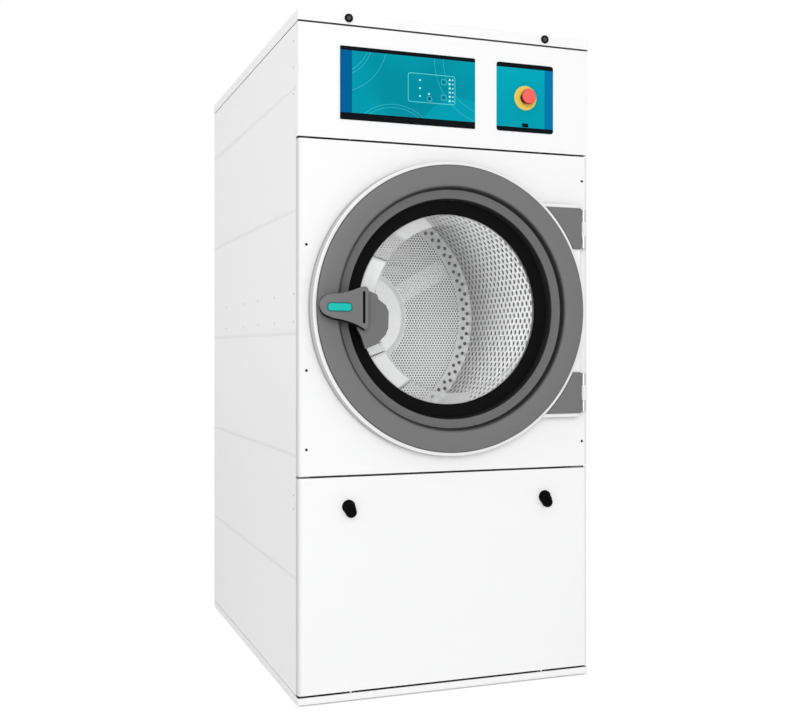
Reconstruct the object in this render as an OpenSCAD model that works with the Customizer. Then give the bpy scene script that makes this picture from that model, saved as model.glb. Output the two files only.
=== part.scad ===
// Industrial tumble dryer: cabinet, round hinged door, perforated drum, belt drive, heater and exhaust fan.
// Every depth (Y) in a module is counted from the face of the front panels, positive towards the back.

/* [Cabinet] */
// Overall width, over the lips of the top cover
cab_w = 795; // [790:1:900]
// Depth from the front face to the back of the rear panel
cab_d = 1135; // [1130:5:1300]
// Thickness of the outer sheet steel
sheet = 1.5; // [1:0.1:2]
// How far the top cover stands proud of the panels below it
cover_proud = 1; // [0.8:0.1:2]
// Height of the top cover's lips
cover_lip = 27.5; // [26:0.5:32]
// Gap between the control panel and the top cover
cover_gap = 2; // [1.5:0.1:3]
// Gap between two front panels
panel_gap = 5; // [4:0.5:8]
// Radius of the upright edges of the door panel and the service panel
edge_r = 9; // [6:0.5:14]
// Depth of the folded returns of the front panels
panel_return = 20; // [18:0.5:20.5]
// Clear height under the plinth
floor_gap = 4; // [3:0.5:5]
// Height of the plinth
plinth_h = 16.5; // [15:0.5:20]
// Width of the plinth's channels
plinth_w = 60; // [56:1:61]
// Wall of the plinth's channels
plinth_wall = 3; // [2:0.5:4]
// Height of the lower service panel
service_h = 528; // [524:1:532]
// Height of the control panel
control_h = 278.5; // [274:0.5:300]
// Radius of a levelling foot's disc
foot_r = 22; // [16:1:24]
// Radius of a levelling foot's stem
foot_stem_r = 6; // [5:0.5:8]
// Distance of each foot from the side of the cabinet
foot_inset = 75; // [70:1:100]
// Number of pressed swages on each side panel
swage_count = 5; // [1:1:5]
// Height of the lowest swage
swage_first = 307; // [280:1:320]
// Distance between two swages
swage_pitch = 300.2; // [280:0.2:305]
// Width of a swage
swage_w = 8; // [5:0.5:14]
// Depth of a swage
swage_depth = 0.7; // [0.4:0.1:0.9]
// Width of a corner post
post_w = 30; // [24:1:34]
// Wall of the posts and rails
post_wall = 2; // [1.5:0.5:3]
// Thickness of the bulkheads in front of and behind the drum
bulkhead_t = 2; // [1:0.5:3]
// Depth from the front face to the front bulkhead
bulkhead_y = 50; // [48:1:52]
// Seam between the front panels' returns and the side panels
seam = 1; // [0.5:0.1:2]
// Distance of each locating tab of the service panel from the middle
tab_x = 262; // [240:1:280]
// Width of a locating tab
tab_w = 14; // [10:1:18]
// Number of air slots in the rear panel
louvre_count = 8; // [4:1:8]
// Height of the lowest air slot above the heater box's bottom
louvre_rise = 98.25; // [80:1.25:120]
// Distance between two air slots
louvre_pitch = 16; // [12:1:20]
// Height of an air slot
louvre_h = 6; // [4:0.5:8]
// Width of the air slots
louvre_w = 360; // [300:5:400]
// Distance of the cable inlet's centre from the cabinet's side
gland_inset = 96.5; // [76.5:5:146.5]
// Height of the cable inlet above the component tray
gland_rise = 168; // [120:4:200]
// Radius of the cable inlet's threaded body
gland_r = 16; // [13:0.5:18]
// Radius of the supply cable's hole
cable_r = 9; // [6:0.5:10]
// Width of the electrical box
box_w = 310; // [280:5:340]
// Depth of the electrical box
box_d = 260; // [200:5:300]
// Height of the electrical box
box_h = 160; // [120:5:180]

/* [Front fittings] */
// Width of the control window
window_w = 361; // [350:1:380]
// Height of the control window
window_h = 181; // [175:1:190]
// Centre of the control window across the front
window_x = -110.5; // [-115:0.5:-105]
// Height of both windows' centres above the control panel's bottom edge
window_rise = 138; // [134:0.5:142]
// Width of the stop window
stop_w = 163; // [150:1:170]
// Height of the stop window
stop_h = 178; // [160:1:185]
// Centre of the stop button across the front
stop_x = 212.1; // [205:0.1:220]
// Thickness of both windows
window_t = 1.2; // [0.8:0.1:2]
// Side of a square key and width of the round key
key_w = 16; // [12:0.5:17]
// Travel of a key
key_travel = 0.8; // [0.4:0.1:0.8]
// Radius of the stop button's yellow disc
stop_disc_r = 31.5; // [28:0.5:36]
// Radius of the stop button's head
stop_head_r = 18.75; // [15:0.25:22]
// Travel of the stop button
stop_travel = 4; // [2:0.5:5]
// Radius of the stop button's threaded body
stop_body_r = 10.8; // [10:0.1:12]
// Radius of the stop button's stem
stop_stem_r = 8; // [6:0.5:8.5]
// Distance of each cover lock from the middle
lock_x = 269; // [250:1:290]
// Radius of a cover lock's head
lock_r = 10.5; // [10:0.1:11]
// Distance of each service latch from the middle
latch_x = 269; // [240:1:300]
// Distance from the service panel's top edge down to its latches
latch_drop = 72.5; // [64:0.5:76]
// Radius of a service latch's base
latch_r = 16.8; // [14:0.2:20]
// Radius of a service latch's hanging lobe
latch_lobe_r = 13.5; // [10:0.5:15]
// Radius of a service latch's shaft
latch_shaft_r = 6; // [4:0.5:7]
// Length of a service latch's tongue
tongue_len = 45; // [40:1:50]

/* [Door] */
// Distance from the cabinet's side to the edge of the white door pan
door_gap = 24.5; // [20:0.5:30]
// Width of the door panel above and below the door
door_margin = 39.25; // [37:0.25:41]
// How far the pan stands in front of the door panel
pan_front = 38; // [36:0.5:42]
// Thickness of the pan's sheet
pan_sheet = 1.5; // [1:0.1:2]
// Distance from the cabinet's side to the door's straight edge
straight_gap = 34.5; // [33.5:0.5:35.5]
// Half height of the pan's straight side by the hinges
pan_half = 280; // [275:1:300]
// How far the straight part of the pan stands in front of the door panel
pan_low = 28; // [26:0.5:30]
// Width of the white rim that shows round the grey ring
rim_w = 10; // [10:0.5:16]
// Width of the grey ring's front face
ring_w = 59; // [52:1:60]
// Depth of the ring's front face over the pan
ring_t = 4; // [3:0.5:5]
// Width of the black gasket round the clear glass
gasket_w = 50; // [48:1:56]
// Width of the glass dome's slope
dome_slope = 28; // [24:1:36]
// Distance of the dome's front from the door panel's face
dome_front = 36; // [30:0.5:38]
// Thickness of the glass
glass_t = 6; // [5:0.5:7]
// Step from the ring's inner edge in to the hole in the door panel
hole_step = 11; // [10:0.5:12]
// Distance from the cabinet's side to the hinge line
hinge_gap = 24.5; // [22.5:0.5:25.5]
// Distance of the hinge line in front of the door panel
hinge_y = 22; // [20:0.5:24]
// Distance of each hinge above or below the door's centre
hinge_z = 215.7; // [205:0.5:222]
// Height of a grey hinge cover
hinge_h = 108; // [100:1:112]
// Radius of a hinge knuckle
knuckle_r = 7; // [6:0.2:7.5]
// Radius of a hinge pin
hinge_pin_r = 3.5; // [3:0.1:4]
// Distance from the hole's edge to the seal's outer edge
seal_reach = 30; // [26:0.5:31]
// Width of that seal
seal_w = 20; // [12:1:22]
// Distance from the seal to the middle of the latch nose
nose_gap = 13; // [12:0.5:14]
// Width of the latch nose
nose_w = 12; // [8:0.5:14]
// Height of the latch nose
nose_h = 17; // [12:0.5:20]
// How far the lever sits below the door's centre
lever_drop = 2; // [0:0.5:4]
// Radius of the lever's pin
lever_pin_r = 2.5; // [2:0.1:3]
// Radius of the lever's hub
lever_hub_r = 5.5; // [4.5:0.1:6]
// Distance of the lever's front face from the door panel's face
lever_front = 76; // [74:0.5:80]
// Thickness of the lever's grip
grip_t = 18; // [14:0.5:20]
// Distance from the ring's inner edge in to the lever's pin
lever_step = 59; // [57:0.5:61]
// Distance of the lever's pin in front of the door panel
lever_y = 62; // [61:0.5:63]

/* [Drum] */
// Gap between the drum and each side of the cabinet
drum_gap = 18; // [13:0.5:28]
// Thickness of the drum's sheet
drum_sheet = 2; // [1:0.1:3]
// Front of the drum
drum_front = 70; // [68:1:76]
// Depth behind the drum, for the heater and the drive
drive_d = 387; // [385:1:435]
// Step from the door panel's hole out to the drum's mouth
mouth_step = 12; // [8:1:18]
// Height of a lifter
lifter_h = 75; // [40:1:90]
// Width of a lifter's foot
lifter_w = 90; // [60:1:120]
// Radius of the drum's shaft
shaft_r = 30; // [25:0.5:32]
// Height of the bearings' rings
bearing_t = 17; // [12:0.5:20]
// Width of each bearing
bearing_w = 22; // [16:1:30]
// Clear depth between the drum and the rear bulkhead
drum_room = 27; // [22:1:30]
// Depth from the rear bulkhead to the middle of the belt
belt_back = 155; // [150:1:160]
// Radius of the drum's pulley
pulley_r = 210; // [180:1:220]
// Radius of the motor's pulley
motor_pulley_r = 35; // [28:1:45]
// Width of the belt
belt_w = 25; // [20:1:28]
// Thickness of the belt
belt_t = 5; // [3:0.5:7]
// Drum motor's centre across the cabinet
motor_x = 230; // [220:1:240]
// Distance from the drum's centre line down to the drum motor's
motor_drop = 329.75; // [320:0.25:334]
// Radius of the drum motor
motor_r = 80; // [70:1:85]
// Length of the drum motor
motor_len = 135; // [120:1:140]
// Radius of the drum motor's shaft
motor_shaft_r = 12; // [8:0.5:14]

/* [Air path] */
// Width of the heater box
heater_w = 370; // [340:2:390]
// Height of the heater box
heater_h = 230; // [200:2:240]
// Depth of the heater box
heater_d = 120; // [100:2:124]
// Radius of a heating tube
element_r = 5; // [3:0.5:7]
// Gap between the drum and the lint chamber below it
chamber_gap = 52.75; // [48:0.25:72]
// Depth from the front face to the back of the lint chamber
chamber_back = 570; // [550:1:590]
// Height of the lint filter
filter_z = 400; // [380:1:430]
// Thickness of the lint filter's frame
filter_t = 24; // [16:1:30]
// Gap between the fan's housing and the exhaust duct
duct_gap = 18.3; // [14:0.3:24]
// Height of the fan's centre
fan_z = 300; // [290:1:305]
// Radius of the fan's housing
fan_r = 190; // [185:1:200]
// Depth of the fan's housing
fan_d = 130; // [110:1:140]
// Radius of the fan's air inlet
inlet_r = 120; // [100:1:125]
// Radius of the fan's shaft
fan_shaft_r = 9; // [6:0.5:12]
// Radius of the impeller
impeller_r = 150; // [130:1:160]
// Number of impeller blades
blade_count = 12; // [6:1:16]
// Radius of the fan's motor
fan_motor_r = 75; // [60:1:85]
// Outer radius of the exhaust spigot
spigot_r = 100; // [90:1:101]
// Height of the exhaust spigot's centre
spigot_z = 260; // [255:1:270]
// Length of the spigot behind the rear panel
spigot_len = 60; // [50:1:90]
// Sheet thickness of the ducts and chambers
duct_t = 2; // [1:0.5:3]

/* [Clearances] */
// Gap between pieces that are seated on each other
seat = 0.3; // [0.2:0.05:0.4]
// Radial gap of a shaft in its bearing
running = 0.05; // [0.02:0.01:0.1]

/* [Hidden] */
$fn = 96;
cut = 1;
side_x = cab_w / 2 - cover_proud;
inner_x = side_x - sheet;
bulkhead_x = inner_x - swage_depth - seat;
plinth_top = floor_gap + plinth_h;
service_z = plinth_top + panel_gap;
service_top = service_z + service_h;
pan_r = side_x - door_gap;
door_panel_h = 2 * (pan_r + door_margin);
door_panel_z = service_top + panel_gap;
door_panel_top = door_panel_z + door_panel_h;
control_z = door_panel_top + panel_gap;
control_top = control_z + control_h;
cover_z = control_top + cover_gap;
cab_h = cover_z + cover_lip;
panel_z = [plinth_top + 2, control_top];
side_y = [panel_return + seam, cab_d - sheet - seat];
bulkhead_z = [door_panel_z + 3.5, door_panel_top + 11 - seat];
tray_z = door_panel_top + 11;
tray_t = 2;
gland_x = gland_inset - side_x;
gland_z = tray_z + gland_rise;
door_z = door_panel_z + door_panel_h / 2;
post_x = side_x - 4.5;
latch_z = service_top - latch_drop;
window_z = control_z + window_rise;
post_top = cab_h - sheet - seat;
front_post_y = [panel_return + seat, bulkhead_y - seat];
rear_post_y = [cab_d - sheet - seat - post_w, cab_d - sheet - seat];
between_posts = [post_w - post_x + seat, post_x - post_w - seat];
drum_r = inner_x - drum_gap - drum_sheet;
drum_back_y = cab_d - drive_d;
rear_bulkhead_y = drum_back_y + drum_room;
behind_bulkhead = rear_bulkhead_y + bulkhead_t;
handle_reach = lever_front + 1;
front_y = (handle_reach - cab_d - spigot_len) / 2;
lock_z = cab_h - lock_r - 0.5;
cam_len = lock_z - control_top + 1.5;
cam_y = 12;
foot_x = side_x - foot_inset;
foot_y = [plinth_w / 2, cab_d - plinth_w / 2];
tilt_y = 6;
tilt_z = plinth_top + seat + sheet / 2;
tongue_y = panel_return + 1.5;
board_x = [window_x - 15.5, window_x + 140.5];
board_z = [window_z - 50, window_z + 52];
key_x = [window_x + 54.5, window_x + 93.2, window_x + 93.2];
key_z = [window_z - 22.7, window_z + 22.3, window_z - 17];
screw_left = 20.5 - side_x;
screw_right = side_x - 16.5;
screw_at = [[screw_left, 153], [screw_left, -153.4], [screw_left, -346.3], [screw_right, 346.3],
    [screw_right, -346]];
rivet_z = [control_z + 240, control_z + 175, control_z + 110, door_z + 34.25, door_z - 33.75,
    service_top - 45.5, service_top - 78.5];
pan_right = side_x - straight_gap;
ring_r = pan_r - rim_w;
ring_in_r = ring_r - ring_w;
hole_r = ring_in_r - hole_step;
glass_r = hole_r - gasket_w;
dome_r = glass_r - dome_slope;
seal_r = hole_r + seal_reach;
nose_x = seal_r + nose_gap;
hinge_x = side_x - hinge_gap;
mouth_r = hole_r + mouth_step;
knuckle = hinge_h / 2 - 4;
leaf_z = knuckle - 30.3;
liner_r = hole_r - 7;
lever_x = lever_step - ring_in_r;
lever_z = door_z - lever_drop;
belt_y = rear_bulkhead_y + belt_back;
motor_z = door_z - motor_drop;
motor_y = [belt_y + 30, belt_y + 30 + motor_len];
duct_x = [post_x - post_w - 13.7 - 2 * spigot_r, post_x - post_w - 4];
fan_x = duct_x[0] - duct_gap - fan_r;
fan_y = [chamber_back + seat, chamber_back + fan_d];
throat_z = [fan_z + 70, fan_z + fan_r - 4];
duct_y = [fan_y[0], cab_d - sheet - seat];
spigot_x = (duct_x[0] + duct_x[1]) / 2;
heater_y = [behind_bulkhead, behind_bulkhead + heater_d];
heater_z = [door_z + 132, door_z + 132 + heater_h];
chamber_x = side_x - plinth_w + 8.5;
chamber_y = [plinth_w + 2, chamber_back];
chamber_z = [plinth_top, door_z - drum_r - drum_sheet - chamber_gap];
box_x = [post_w + 12 - post_x, post_w + 12 - post_x + box_w];
box_y = [140, 140 + box_d];
box_z = [tray_z + tray_t, tray_z + tray_t + box_h];

// Values counted from a given one
function from(start, steps) = [for (step = steps) start + step];
// A block between two values on each axis
module block(x, y, z) translate([x[0], y[0], z[0]]) cube([x[1] - x[0], y[1] - y[0], z[1] - z[0]]);
// A round bar along Y
module rod_y(r, y, x = 0, z = 0)
    translate([x, y[0], z]) rotate([-90, 0, 0]) cylinder(r = r, h = y[1] - y[0]);
// A round tube along Y
module tube_y(r_out, r_in, y, x = 0, z = 0)
    difference() {
        rod_y(r_out, y, x, z);
        rod_y(r_in, [y[0] - cut, y[1] + cut], x, z);
    }
// A round bar along X
module rod_x(r, x, y, z) translate([x[0], y, z]) rotate([0, 90, 0]) cylinder(r = r, h = x[1] - x[0]);
// A round bar along Z
module rod_z(r, z, x, y) translate([x, y, z[0]]) cylinder(r = r, h = z[1] - z[0]);
// A turned solid about the door's centre line, from [radius, depth] points
module turned(points) translate([0, 0, door_z]) rotate([-90, 0, 0]) rotate_extrude() polygon(points);
// A flat shape drawn in X and Z, given thickness along Y
module along_y(y) translate([0, y[1], 0]) rotate([90, 0, 0]) linear_extrude(y[1] - y[0]) children();
// Moves a module from the front face's own depth to the part's frame
module at_front() translate([0, front_y, 0]) children();
// A closed hollow box
module shell(x, y, z, t)
    difference() {
        block(x, y, z);
        block([x[0] + t, x[1] - t], [y[0] + t, y[1] - t], [z[0] + t, z[1] - t]);
    }
// Points of an arc about a centre
function arc(c, r, first, last, steps = 10) =
    [for (i = [0:steps]) let (a = first + (last - first) * i / steps) [c[0] + r * cos(a), c[1] + r * sin(a)]];
// A rectangle with rounded corners, as points
function rounded(x, z, r) = concat(
    arc([x[1] - r, z[1] - r], r, 0, 90, 6), arc([x[0] + r, z[1] - r], r, 90, 180, 6),
    arc([x[0] + r, z[0] + r], r, 180, 270, 6), arc([x[1] - r, z[0] + r], r, 270, 360, 6));
// One side of a folded panel seen from above, inset from its outer face
function fold(inset) = concat(
    [[inset - side_x, panel_return]],
    arc([edge_r - side_x, edge_r], edge_r - inset, 180, 270),
    arc([side_x - edge_r, edge_r], edge_r - inset, 270, 360),
    [[side_x - inset, panel_return]]);
// The same points in the other order
function flipped(points) = [for (i = [len(points) - 1:-1:0]) points[i]];

// A front panel of folded sheet with round upright edges
module folded_panel(z) {
    translate([0, 0, z[0]]) linear_extrude(z[1] - z[0]) polygon(concat(fold(0), flipped(fold(sheet))));
    for (low = [z[0], z[1] - sheet])
        block([edge_r - side_x, side_x - edge_r], [sheet / 2, panel_return], [low, low + sheet]);
}

// Four channels open below, with holes for the feet and slots for the service panel's tabs
module base_frame() {
    channel = [floor_gap, plinth_top];
    hollow = [floor_gap - cut, plinth_top - plinth_wall];
    color("white") at_front() difference() {
        for (y = [0, cab_d - plinth_w]) block([-side_x, side_x], [y, y + plinth_w], channel);
        for (y = [0, cab_d - plinth_w])
            block([plinth_wall - side_x, side_x - plinth_wall],
                [y + plinth_wall, y + plinth_w - plinth_wall], hollow);
        for (x = [-foot_x, foot_x], y = foot_y) rod_z(foot_stem_r + seat, [0, plinth_top + cut], x, y);
        for (x = [-tab_x, tab_x])
            block([x - tab_w / 2 - 5, x + tab_w / 2 + 5], [plinth_wall + 0.2, tilt_y + 8],
                [floor_gap, plinth_top + cut]);
    }
    color("white") at_front() for (side = [-1, 1]) mirror([side > 0 ? 0 : 1, 0, 0]) difference() {
        block([side_x - plinth_w, side_x], [plinth_w, cab_d - plinth_w], channel);
        block([side_x - plinth_w + plinth_wall, side_x - plinth_wall],
            [plinth_w + plinth_wall, cab_d - plinth_w - plinth_wall], hollow);
    }
}

module levelling_feet() color("dimgray") at_front() for (x = [-foot_x, foot_x], y = foot_y) {
    rod_z(foot_r, [0, 6], x, y);
    rod_z(foot_stem_r, [5, plinth_top + 22], x, y);
    translate([x, y, plinth_top]) cylinder(r = foot_stem_r * 1.6, h = 9, $fn = 6);
}

// Four posts, the rails that join their tops, the tray, the rail behind the latches and the motor's shelf
module frame_members() {
    upright = [plinth_top, post_top];
    rail = [post_top - post_w, post_top];
    color("lightgray") at_front() {
        for (side = [-1, 1], y = [front_post_y, rear_post_y]) mirror([side > 0 ? 0 : 1, 0, 0]) difference() {
            block([post_x - post_w, post_x], y, upright);
            block([post_x - post_w + post_wall, post_x - post_wall], [y[0] + post_wall, y[1] - post_wall],
                [upright[0] - cut, upright[1] + cut]);
        }
        for (y = [front_post_y, rear_post_y]) block(between_posts, y, rail);
        for (side = [-1, 1]) mirror([side > 0 ? 0 : 1, 0, 0])
            block([post_x - post_w, post_x], [front_post_y[1] + seat, rear_post_y[0] - seat], rail);
        cross_rail();
        block([-bulkhead_x, bulkhead_x], [bulkhead_y, rear_post_y[0] - seat], [tray_z, tray_z + tray_t]);
        motor_shelf();
    }
}

// The rail between the service panel and the door panel; its front lip holds the latches' tongues
module cross_rail() {
    lip_y = [tongue_y - seat - post_wall, tongue_y - seat];
    back = bulkhead_y - 5;
    rail = [latch_z + 26.5, latch_z + 66.5];
    block(between_posts, lip_y, rail);
    block(between_posts, [lip_y[0], back], [rail[1] - post_wall, rail[1]]);
    block(between_posts, [back - post_wall, back], rail);
}

// The shelf that carries the drum motor, with its flange on the right side panel
module motor_shelf() {
    top = motor_z - motor_r - 8;
    y = [belt_y + 25, rear_post_y[0] - 3];
    block([motor_x - 100, bulkhead_x], y, [top - 4, top]);
    block([bulkhead_x - 3, bulkhead_x], y, [top - 4, top + 90]);
}

// A side panel with its swages pressed inwards; side is -1 for the left one
module side_panel(side) {
    groove_y = [142, cab_d - 109];
    groove_z = [for (i = [0:swage_count - 1]) swage_first + i * swage_pitch];
    mirror([side > 0 ? 0 : 1, 0, 0]) difference() {
        union() {
            block([inner_x, side_x], side_y, panel_z);
            for (z = groove_z)
                block([inner_x - swage_depth, inner_x + sheet / 2], groove_y, [z, z + swage_w]);
        }
        for (z = groove_z)
            block([side_x - swage_depth, side_x + cut], [groove_y[0] + sheet, groove_y[1] - sheet],
                [z + sheet, z + swage_w - sheet]);
    }
}
module left_side_panel() color("whitesmoke") at_front() side_panel(-1);
module right_side_panel() color("whitesmoke") at_front() side_panel(1);

module rear_panel() color("whitesmoke") at_front() difference() {
    through = [cab_d - sheet - cut, cab_d + cut];
    block([-side_x, side_x], [cab_d - sheet, cab_d], panel_z);
    rod_y(spigot_r + seat, through, spigot_x, spigot_z);
    rod_y(gland_r + seat, through, gland_x, gland_z);
    for (i = [0:louvre_count - 1])
        block([-louvre_w / 2, louvre_w / 2], through,
            from(heater_z[0] + louvre_rise + i * louvre_pitch, [0, louvre_h]));
}

module top_cover() color("whitesmoke") at_front() difference() {
    block([-cab_w / 2, cab_w / 2], [-cover_proud, cab_d + cover_proud], [cover_z, cab_h]);
    block([sheet - cab_w / 2, cab_w / 2 - sheet], [sheet - cover_proud, cab_d + cover_proud - sheet],
        [cover_z - cut, cab_h - sheet]);
    for (x = [-lock_x, lock_x]) rod_y(lock_r - 1.5, [-cover_proud - cut, cut + 1], x, lock_z);
}

module control_panel() color("whitesmoke") at_front() difference() {
    block([-side_x, side_x], [0, panel_return], [control_z, control_top]);
    block([-inner_x, inner_x], [sheet, panel_return + cut], [control_z + sheet, control_top - sheet]);
    block(board_x + [8, -8], [-cut, sheet + cut], board_z + [8, -8]);
    rod_y(stop_body_r + seat, [-cut, sheet + cut], stop_x, window_z);
    for (side = [-1, 1])
        block([side * lock_x - 13, side * lock_x + 13], [cam_y - 1.5, cam_y + 4],
            [control_top - sheet - cut, control_top + cut]);
}

// Both windows lie on the control panel; the control window has the keys' openings
module panel_windows() {
    face = [-window_t, 0];
    color("teal") at_front() difference() {
        along_y(face) polygon(rounded([window_x - window_w / 2, window_x + window_w / 2],
            [window_z - window_h / 2, window_z + window_h / 2], 3));
        rod_y(key_w / 2 + seat, [-window_t - cut, cut], key_x[0], key_z[0]);
        for (i = [1, 2])
            block([key_x[i] - key_w / 2 - seat, key_x[i] + key_w / 2 + seat], [-window_t - cut, cut],
                [key_z[i] - key_w / 2 - seat, key_z[i] + key_w / 2 + seat]);
    }
    color("darkturquoise") at_front() difference() {
        along_y(face) polygon(rounded([stop_x - stop_w / 2, stop_x + stop_w / 2],
            [window_z - stop_h / 2, window_z + stop_h / 2], 7));
        rod_y(stop_body_r + seat, [-window_t - cut, cut], stop_x, window_z);
    }
}

// The board behind the keypad, on four pillars, with a switch behind each key
module keypad_board() color("green") at_front() {
    block(board_x, [9, 10.6], board_z);
    for (x = board_x + [4, -4], z = board_z + [4, -4]) rod_y(2.5, [sheet, 9.5], x, z);
    for (i = [0:2])
        block([key_x[i] - 3, key_x[i] + 3], [5.2 + key_travel, 9.5], [key_z[i] - 3, key_z[i] + 3]);
}

// A key's stem, reaching to just in front of its switch
module key_stem(i) block([key_x[i] - 4, key_x[i] + 4], [-window_t, 5], [key_z[i] - 4, key_z[i] + 4]);
module square_key(i) color("darkcyan") at_front() {
    block([key_x[i] - key_w / 2, key_x[i] + key_w / 2], [-window_t - 0.4, 0],
        [key_z[i] - key_w / 2, key_z[i] + key_w / 2]);
    key_stem(i);
}
module start_key() color("darkcyan") at_front() {
    rod_y(key_w / 2, [-window_t - 0.4, 0], key_x[0], key_z[0]);
    key_stem(0);
}
module up_key() square_key(1);
module down_key() square_key(2);

// Yellow disc, threaded body through the panel, nut and contact block
module stop_collar() {
    disc = [-window_t - 2, -window_t];
    bottom = 22 + stop_travel;
    color("gold") at_front() tube_y(stop_disc_r, stop_body_r + 0.1, disc, stop_x, window_z);
    color("dimgray") at_front() {
        difference() {
            union() {
                rod_y(14.5, [disc[0] - 4, disc[0]], stop_x, window_z);
                rod_y(stop_body_r, [disc[0] - 2, bottom + 2], stop_x, window_z);
            }
            rod_y(stop_stem_r + seat, [disc[0] - 4 - cut, bottom], stop_x, window_z);
        }
        tube_y(18, stop_body_r + 0.1, [sheet, sheet + 5], stop_x, window_z);
        block([stop_x - 15, stop_x + 15], [bottom + 2, bottom + 40], [window_z - 20, window_z + 20]);
    }
}
module stop_stem() color("black") at_front() rod_y(stop_stem_r, [-11 - stop_travel, 17], stop_x, window_z);
module stop_head() color("red") at_front() difference() {
    back = -9 - stop_travel;
    union() {
        rod_y(stop_head_r, [back - 16, back - 5], stop_x, window_z);
        rod_y(13, [back - 6, back], stop_x, window_z);
    }
    rod_y(stop_stem_r + running, [back - 3, back + cut], stop_x, window_z);
}

module door_panel() color("white") at_front() difference() {
    through = [-cut, sheet + cut];
    folded_panel([door_panel_z, door_panel_top]);
    rod_y(hole_r, [-cut, panel_return], 0, door_z);
    block([-nose_x - nose_w / 2 - 5, 5 + nose_w / 2 - nose_x], through,
        [door_z - nose_h / 2 - 9.5, door_z + nose_h / 2 + 9.5]);
    for (s = screw_at) rod_y(2.1, through, s[0], door_z + s[1]);
}

// Wall in front of the drum, with a collar that reaches the door panel
module front_bulkhead() color("lightgray") at_front() difference() {
    union() {
        block([-bulkhead_x, bulkhead_x], [bulkhead_y, bulkhead_y + bulkhead_t], bulkhead_z);
        rod_y(hole_r + 4, [sheet + seat, bulkhead_y + 12], 0, door_z);
    }
    rod_y(hole_r + 1.5, [-cut, bulkhead_y + 20], 0, door_z);
}

module felt_seal() color("gray") at_front()
    tube_y(mouth_r + 33, mouth_r + 11, [bulkhead_y + bulkhead_t, drum_front - seat], 0, door_z);

module rear_bulkhead() color("lightgray") at_front() difference() {
    through = [rear_bulkhead_y - cut, behind_bulkhead + cut];
    block([-bulkhead_x, bulkhead_x], [rear_bulkhead_y, behind_bulkhead], bulkhead_z);
    rod_y(shaft_r + bearing_t + 3, through, 0, door_z);
    block([10 - heater_w / 2, heater_w / 2 - 10], through, heater_z + [8, -12]);
}

// Flanged tube that holds both bearings, with four holes for its screws
module bearing_housing() color("dimgray") at_front() difference() {
    bore = shaft_r + bearing_t + running;
    flange = bore + 43;
    turned([[bore, behind_bulkhead], [flange, behind_bulkhead], [flange, behind_bulkhead + 12],
        [bore + 15, behind_bulkhead + 12], [bore + 15, behind_bulkhead + 120],
        [bore, behind_bulkhead + 120]]);
    for (at = arc([0, door_z], flange - 25, 45, 315, 3))
        rod_y(6.5, [behind_bulkhead - cut, behind_bulkhead + 13], at[0], at[1]);
}
module shaft_bearings() color("silver") at_front()
    for (y = [behind_bulkhead + 7, behind_bulkhead + 113 - bearing_w])
        tube_y(shaft_r + bearing_t, shaft_r + running, [y, y + bearing_w], 0, door_z);

// Hot air enters the drum through the box's open front, and fresh air comes in through its top
module heater_box() color("silver") at_front() difference() {
    wide = [-heater_w / 2, heater_w / 2];
    shell(wide, heater_y, heater_z, duct_t);
    block(wide + [10, -10], [heater_y[0] - cut, heater_y[0] + duct_t + cut], heater_z + [8, -12]);
    block(wide + [35, -35], heater_y + [25, -20], [heater_z[1] - duct_t - cut, heater_z[1] + cut]);
}
module heater_elements() color("darkorange") at_front()
    for (y = heater_y + [40, -40], z = from(heater_z[0], [45, 105, 165]))
        rod_x(element_r, [duct_t + seat - heater_w / 2, heater_w / 2 - duct_t - seat], y, z);

// Box below the drum, open above and in front, with a ledge on each side for the filter
module lint_chamber() color("silver") at_front() {
    inside = [duct_t - chamber_x, chamber_x - duct_t];
    difference() {
        shell([-chamber_x, chamber_x], chamber_y, chamber_z, duct_t);
        block(inside, [chamber_y[0] - cut, chamber_y[1] - duct_t],
            [chamber_z[1] - duct_t - cut, chamber_z[1] + cut]);
        block(inside, [chamber_y[0] - cut, chamber_y[0] + duct_t + cut],
            [chamber_z[0] + duct_t, chamber_z[1] + cut]);
        rod_y(inlet_r + 5, [chamber_y[1] - duct_t - cut, chamber_y[1] + cut], fan_x, fan_z);
    }
    for (side = [-1, 1]) mirror([side > 0 ? 0 : 1, 0, 0])
        block([chamber_x - duct_t - 25, chamber_x - duct_t / 2], [chamber_y[0] + 4, chamber_y[1] - duct_t],
            [filter_z - 4, filter_z]);
}
module lint_filter() color("gray") at_front() difference() {
    x = chamber_x - duct_t - seat;
    y = [chamber_y[0] + 6, chamber_y[1] - duct_t - seat];
    mesh_z = filter_z + 9;
    block([-x, x], y, [filter_z, filter_z + filter_t]);
    block([25 - x, x - 25], y + [25, -25], [filter_z - cut, mesh_z]);
    block([25 - x, x - 25], y + [25, -25], [mesh_z + 1, filter_z + filter_t + cut]);
}

// Round housing with a throat at its top right, an inlet in front and a hole for the shaft behind
module fan_housing() color("silver") at_front() difference() {
    inside = fan_y + [duct_t, -duct_t];
    union() {
        rod_y(fan_r, fan_y, fan_x, fan_z);
        block([fan_x, duct_x[0] - seat], fan_y, throat_z);
    }
    rod_y(fan_r - duct_t, inside, fan_x, fan_z);
    block([fan_x, duct_x[0] + cut], inside, throat_z + [duct_t, -duct_t]);
    rod_y(inlet_r, [fan_y[0] - cut, fan_y[0] + duct_t + cut], fan_x, fan_z);
    rod_y(fan_shaft_r + 11, [fan_y[1] - duct_t - cut, fan_y[1] + cut], fan_x, fan_z);
}
module fan_motor() color("slategray") at_front() difference() {
    union() {
        rod_y(fan_motor_r + 15, [fan_y[1], fan_y[1] + 8], fan_x, fan_z);
        rod_y(fan_motor_r, [fan_y[1] + 7, fan_y[1] + 180], fan_x, fan_z);
    }
    rod_y(fan_shaft_r + running, [fan_y[1] - cut, fan_y[1] + 70], fan_x, fan_z);
}
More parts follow.
